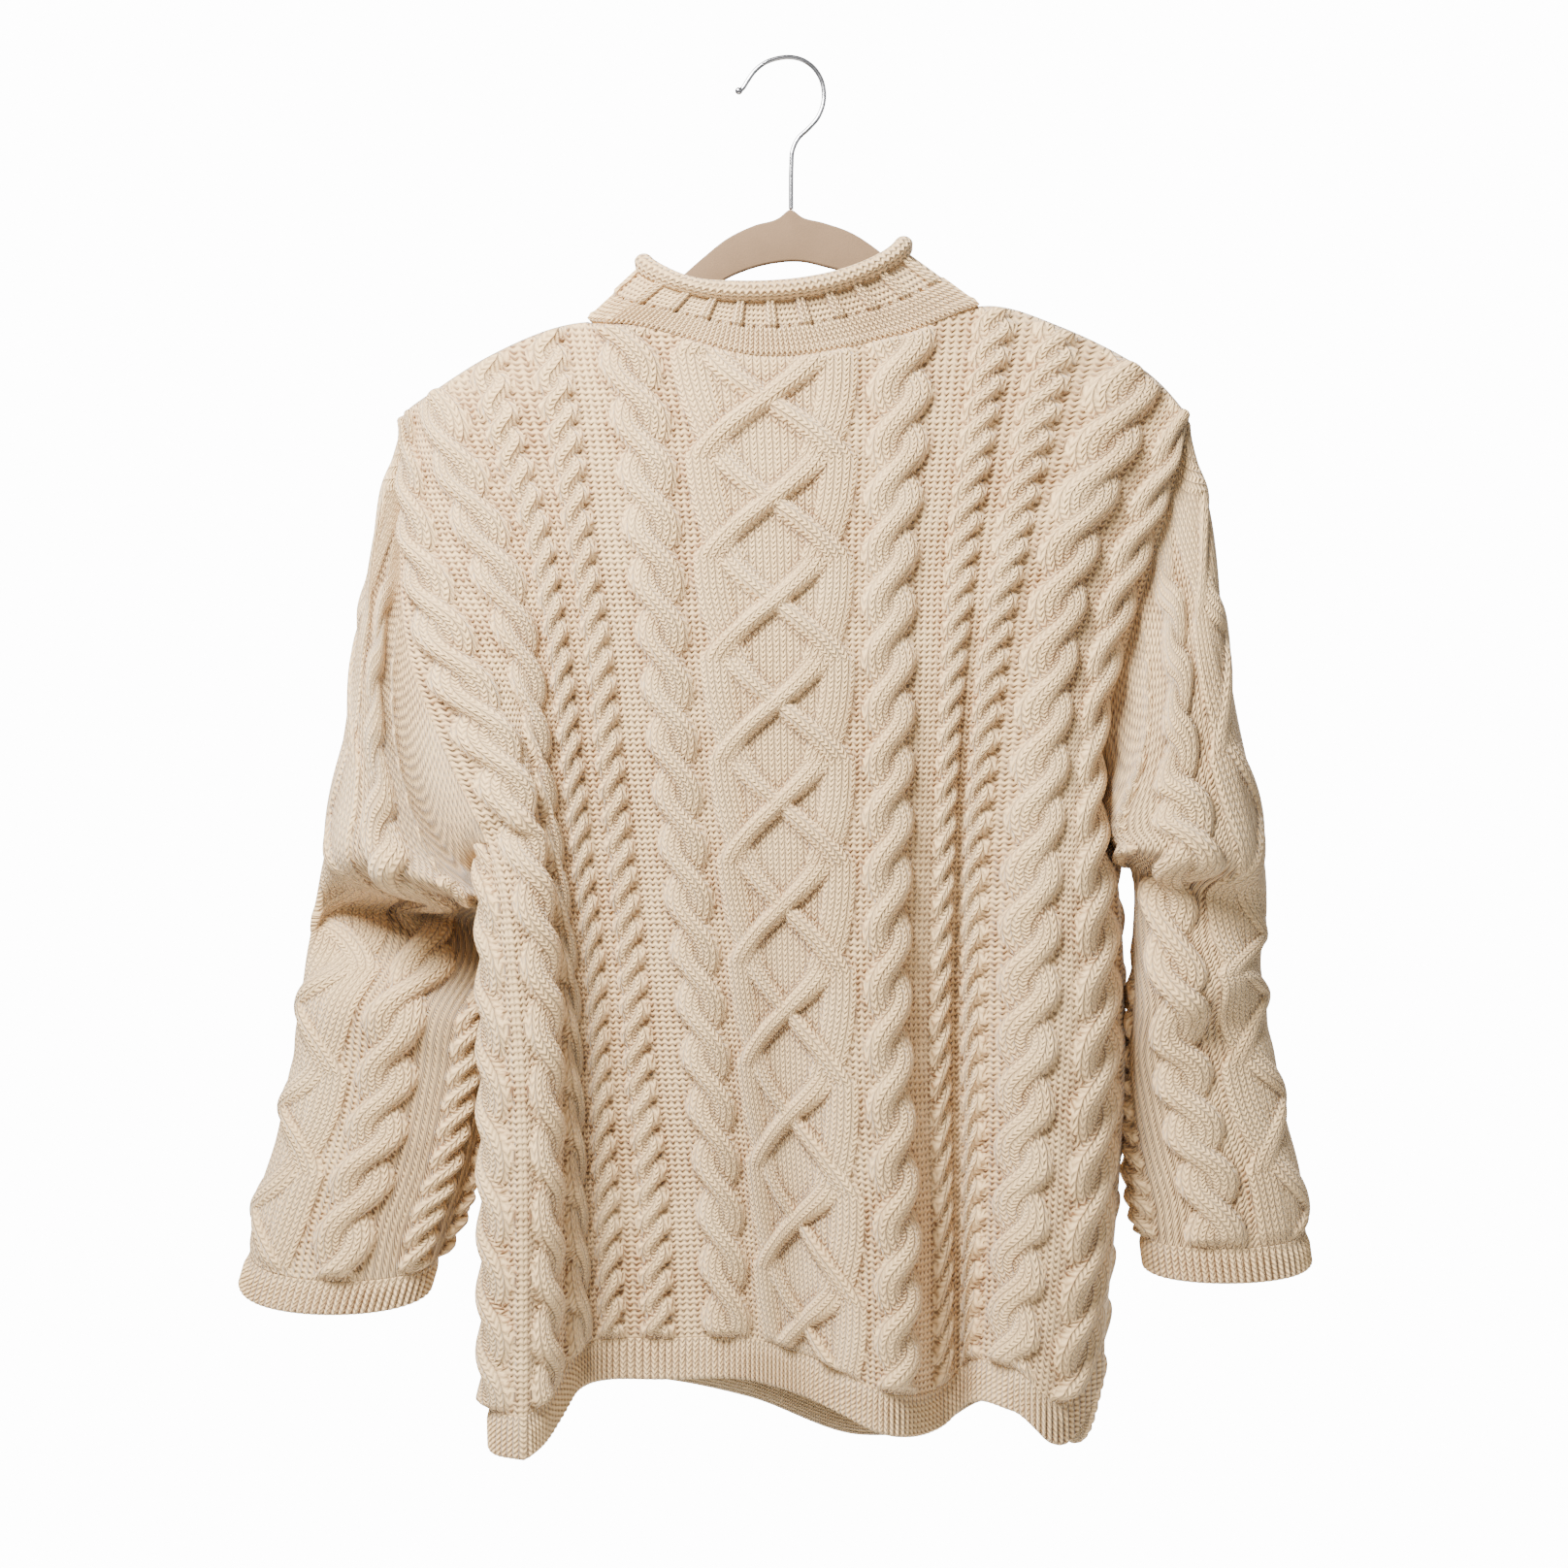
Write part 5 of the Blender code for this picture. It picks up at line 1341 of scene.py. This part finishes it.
class SWEATER_OT_studio(bpy.types.Operator):
    """Set up the pale studio, its soft lights and the camera"""
    bl_idname = "sweater.studio"
    bl_label = "Studio and camera"

    def execute(self, context):
        scene = context.scene
        studio = scene.sweater_studio
        pale_floor()
        soft_light("key_light", (-0.6, -0.95, 0.55), 0.6, studio.key_power, (1.0, 0.985, 0.96))
        soft_light("fill_light", (1.3, -2.1, 0.1), 1.4, studio.fill_power, (0.97, 0.985, 1.0))
        soft_light("back_light", (0.9, 2.2, 0.5), 1.6, studio.back_power, (1.0, 0.985, 0.96))
        white_surround(scene, studio.sky)
        camera = bpy.data.objects.new("camera", bpy.data.cameras.new("camera"))
        camera.data.sensor_width = 36.0
        camera.data.lens = 36.0 * studio.view_distance / studio.view_width
        camera.location = (VIEW_ACROSS * MM, -studio.view_distance, -VIEW_DROP * MM)
        camera.rotation_euler = (math.pi / 2, 0.0, 0.0)
        scene.collection.objects.link(camera)
        scene.camera = camera
        return {"FINISHED"}


def grid_step(scene):
    return scene.sweater_knit.fineness


def soft_light(name, location, size, power, colour):
    """Large square lamp that faces the middle of the sweater."""
    lamp = bpy.data.lights.new(name, "AREA")
    lamp.size = size
    lamp.energy = power
    lamp.color = colour
    obj = bpy.data.objects.new(name, lamp)
    obj.location = location
    aim = np.array([0.0, 0.0, -VIEW_DROP * MM]) - np.array(location)
    obj.rotation_euler = (math.acos(-aim[2] / np.linalg.norm(aim)), 0.0,
                          math.atan2(aim[1], aim[0]) - math.pi / 2)
    bpy.context.scene.collection.objects.link(obj)


def white_surround(scene, strength):
    """Even white light, seen as a white backdrop."""
    world = bpy.data.worlds.new("white_surround")
    world.use_nodes = True
    tree = world.node_tree
    glow = tree.nodes["Background"]
    glow.inputs["Color"].default_value = (1.0, 1.0, 1.0, 1.0)
    glow.inputs["Strength"].default_value = strength
    seen = tree.nodes.new("ShaderNodeBackground")
    seen.inputs["Color"].default_value = (1.0, 1.0, 1.0, 1.0)
    seen.inputs["Strength"].default_value = BACKDROP_WHITE
    path = tree.nodes.new("ShaderNodeLightPath")
    mix = tree.nodes.new("ShaderNodeMixShader")
    tree.links.new(path.outputs["Is Camera Ray"], mix.inputs["Fac"])
    tree.links.new(glow.outputs["Background"], mix.inputs[1])
    tree.links.new(seen.outputs["Background"], mix.inputs[2])
    tree.links.new(mix.outputs["Shader"], tree.nodes["World Output"].inputs["Surface"])
    scene.world = world


def pale_floor():
    """Round pale floor well below the hem."""
    count = 96
    turn = np.arange(count) / count * 2 * math.pi
    points = np.stack([FLOOR_RADIUS * np.cos(turn), FLOOR_RADIUS * np.sin(turn),
                       np.full(count, FLOOR)], axis=-1)
    mesh = bpy.data.meshes.new("floor")
    mesh.from_pydata(points.tolist(), [], [tuple(range(count))])
    floor = bpy.data.objects.new("floor", mesh)
    bpy.context.scene.collection.objects.link(floor)
    mat = bpy.data.materials.new("pale_floor")
    mat.use_nodes = True
    shader = mat.node_tree.nodes["Principled BSDF"]
    shader.inputs["Base Color"].default_value = (0.86, 0.86, 0.85, 1.0)
    shader.inputs["Roughness"].default_value = 0.8
    mesh.materials.append(mat)


class SWEATER_PT_panel(bpy.types.Panel):
    """Steps of the sweater and its settings"""
    bl_idname = "SWEATER_PT_panel"
    bl_label = "Cable-Knit Sweater"
    bl_space_type = "VIEW_3D"
    bl_region_type = "UI"
    bl_category = "Sweater"

    def draw(self, context):
        for step in STEPS:
            self.layout.operator(step.bl_idname)
        for group, _ in GROUPS:
            settings = getattr(context.scene, group)
            for name in settings.bl_rna.properties.keys():
                if name not in {"rna_type", "name"}:
                    self.layout.prop(settings, name)


STEPS = (SWEATER_OT_hanger, SWEATER_OT_panels, SWEATER_OT_sleeves, SWEATER_OT_collar,
         SWEATER_OT_studio)
GROUPS = (("sweater_knit", SweaterKnit), ("sweater_colours", SweaterColours),
          ("sweater_studio", SweaterStudio))


def register():
    for name, group in GROUPS:
        bpy.utils.register_class(group)
        setattr(bpy.types.Scene, name, bpy.props.PointerProperty(type=group))
    for step in STEPS:
        bpy.utils.register_class(step)
    bpy.utils.register_class(SWEATER_PT_panel)


def unregister():
    bpy.utils.unregister_class(SWEATER_PT_panel)
    for step in reversed(STEPS):
        bpy.utils.unregister_class(step)
    for name, group in reversed(GROUPS):
        delattr(bpy.types.Scene, name)
        bpy.utils.unregister_class(group)


def main():
    register()
    for step in STEPS:
        getattr(bpy.ops.sweater, step.bl_idname.split(".")[1])()


if __name__ == "__main__":
    main()
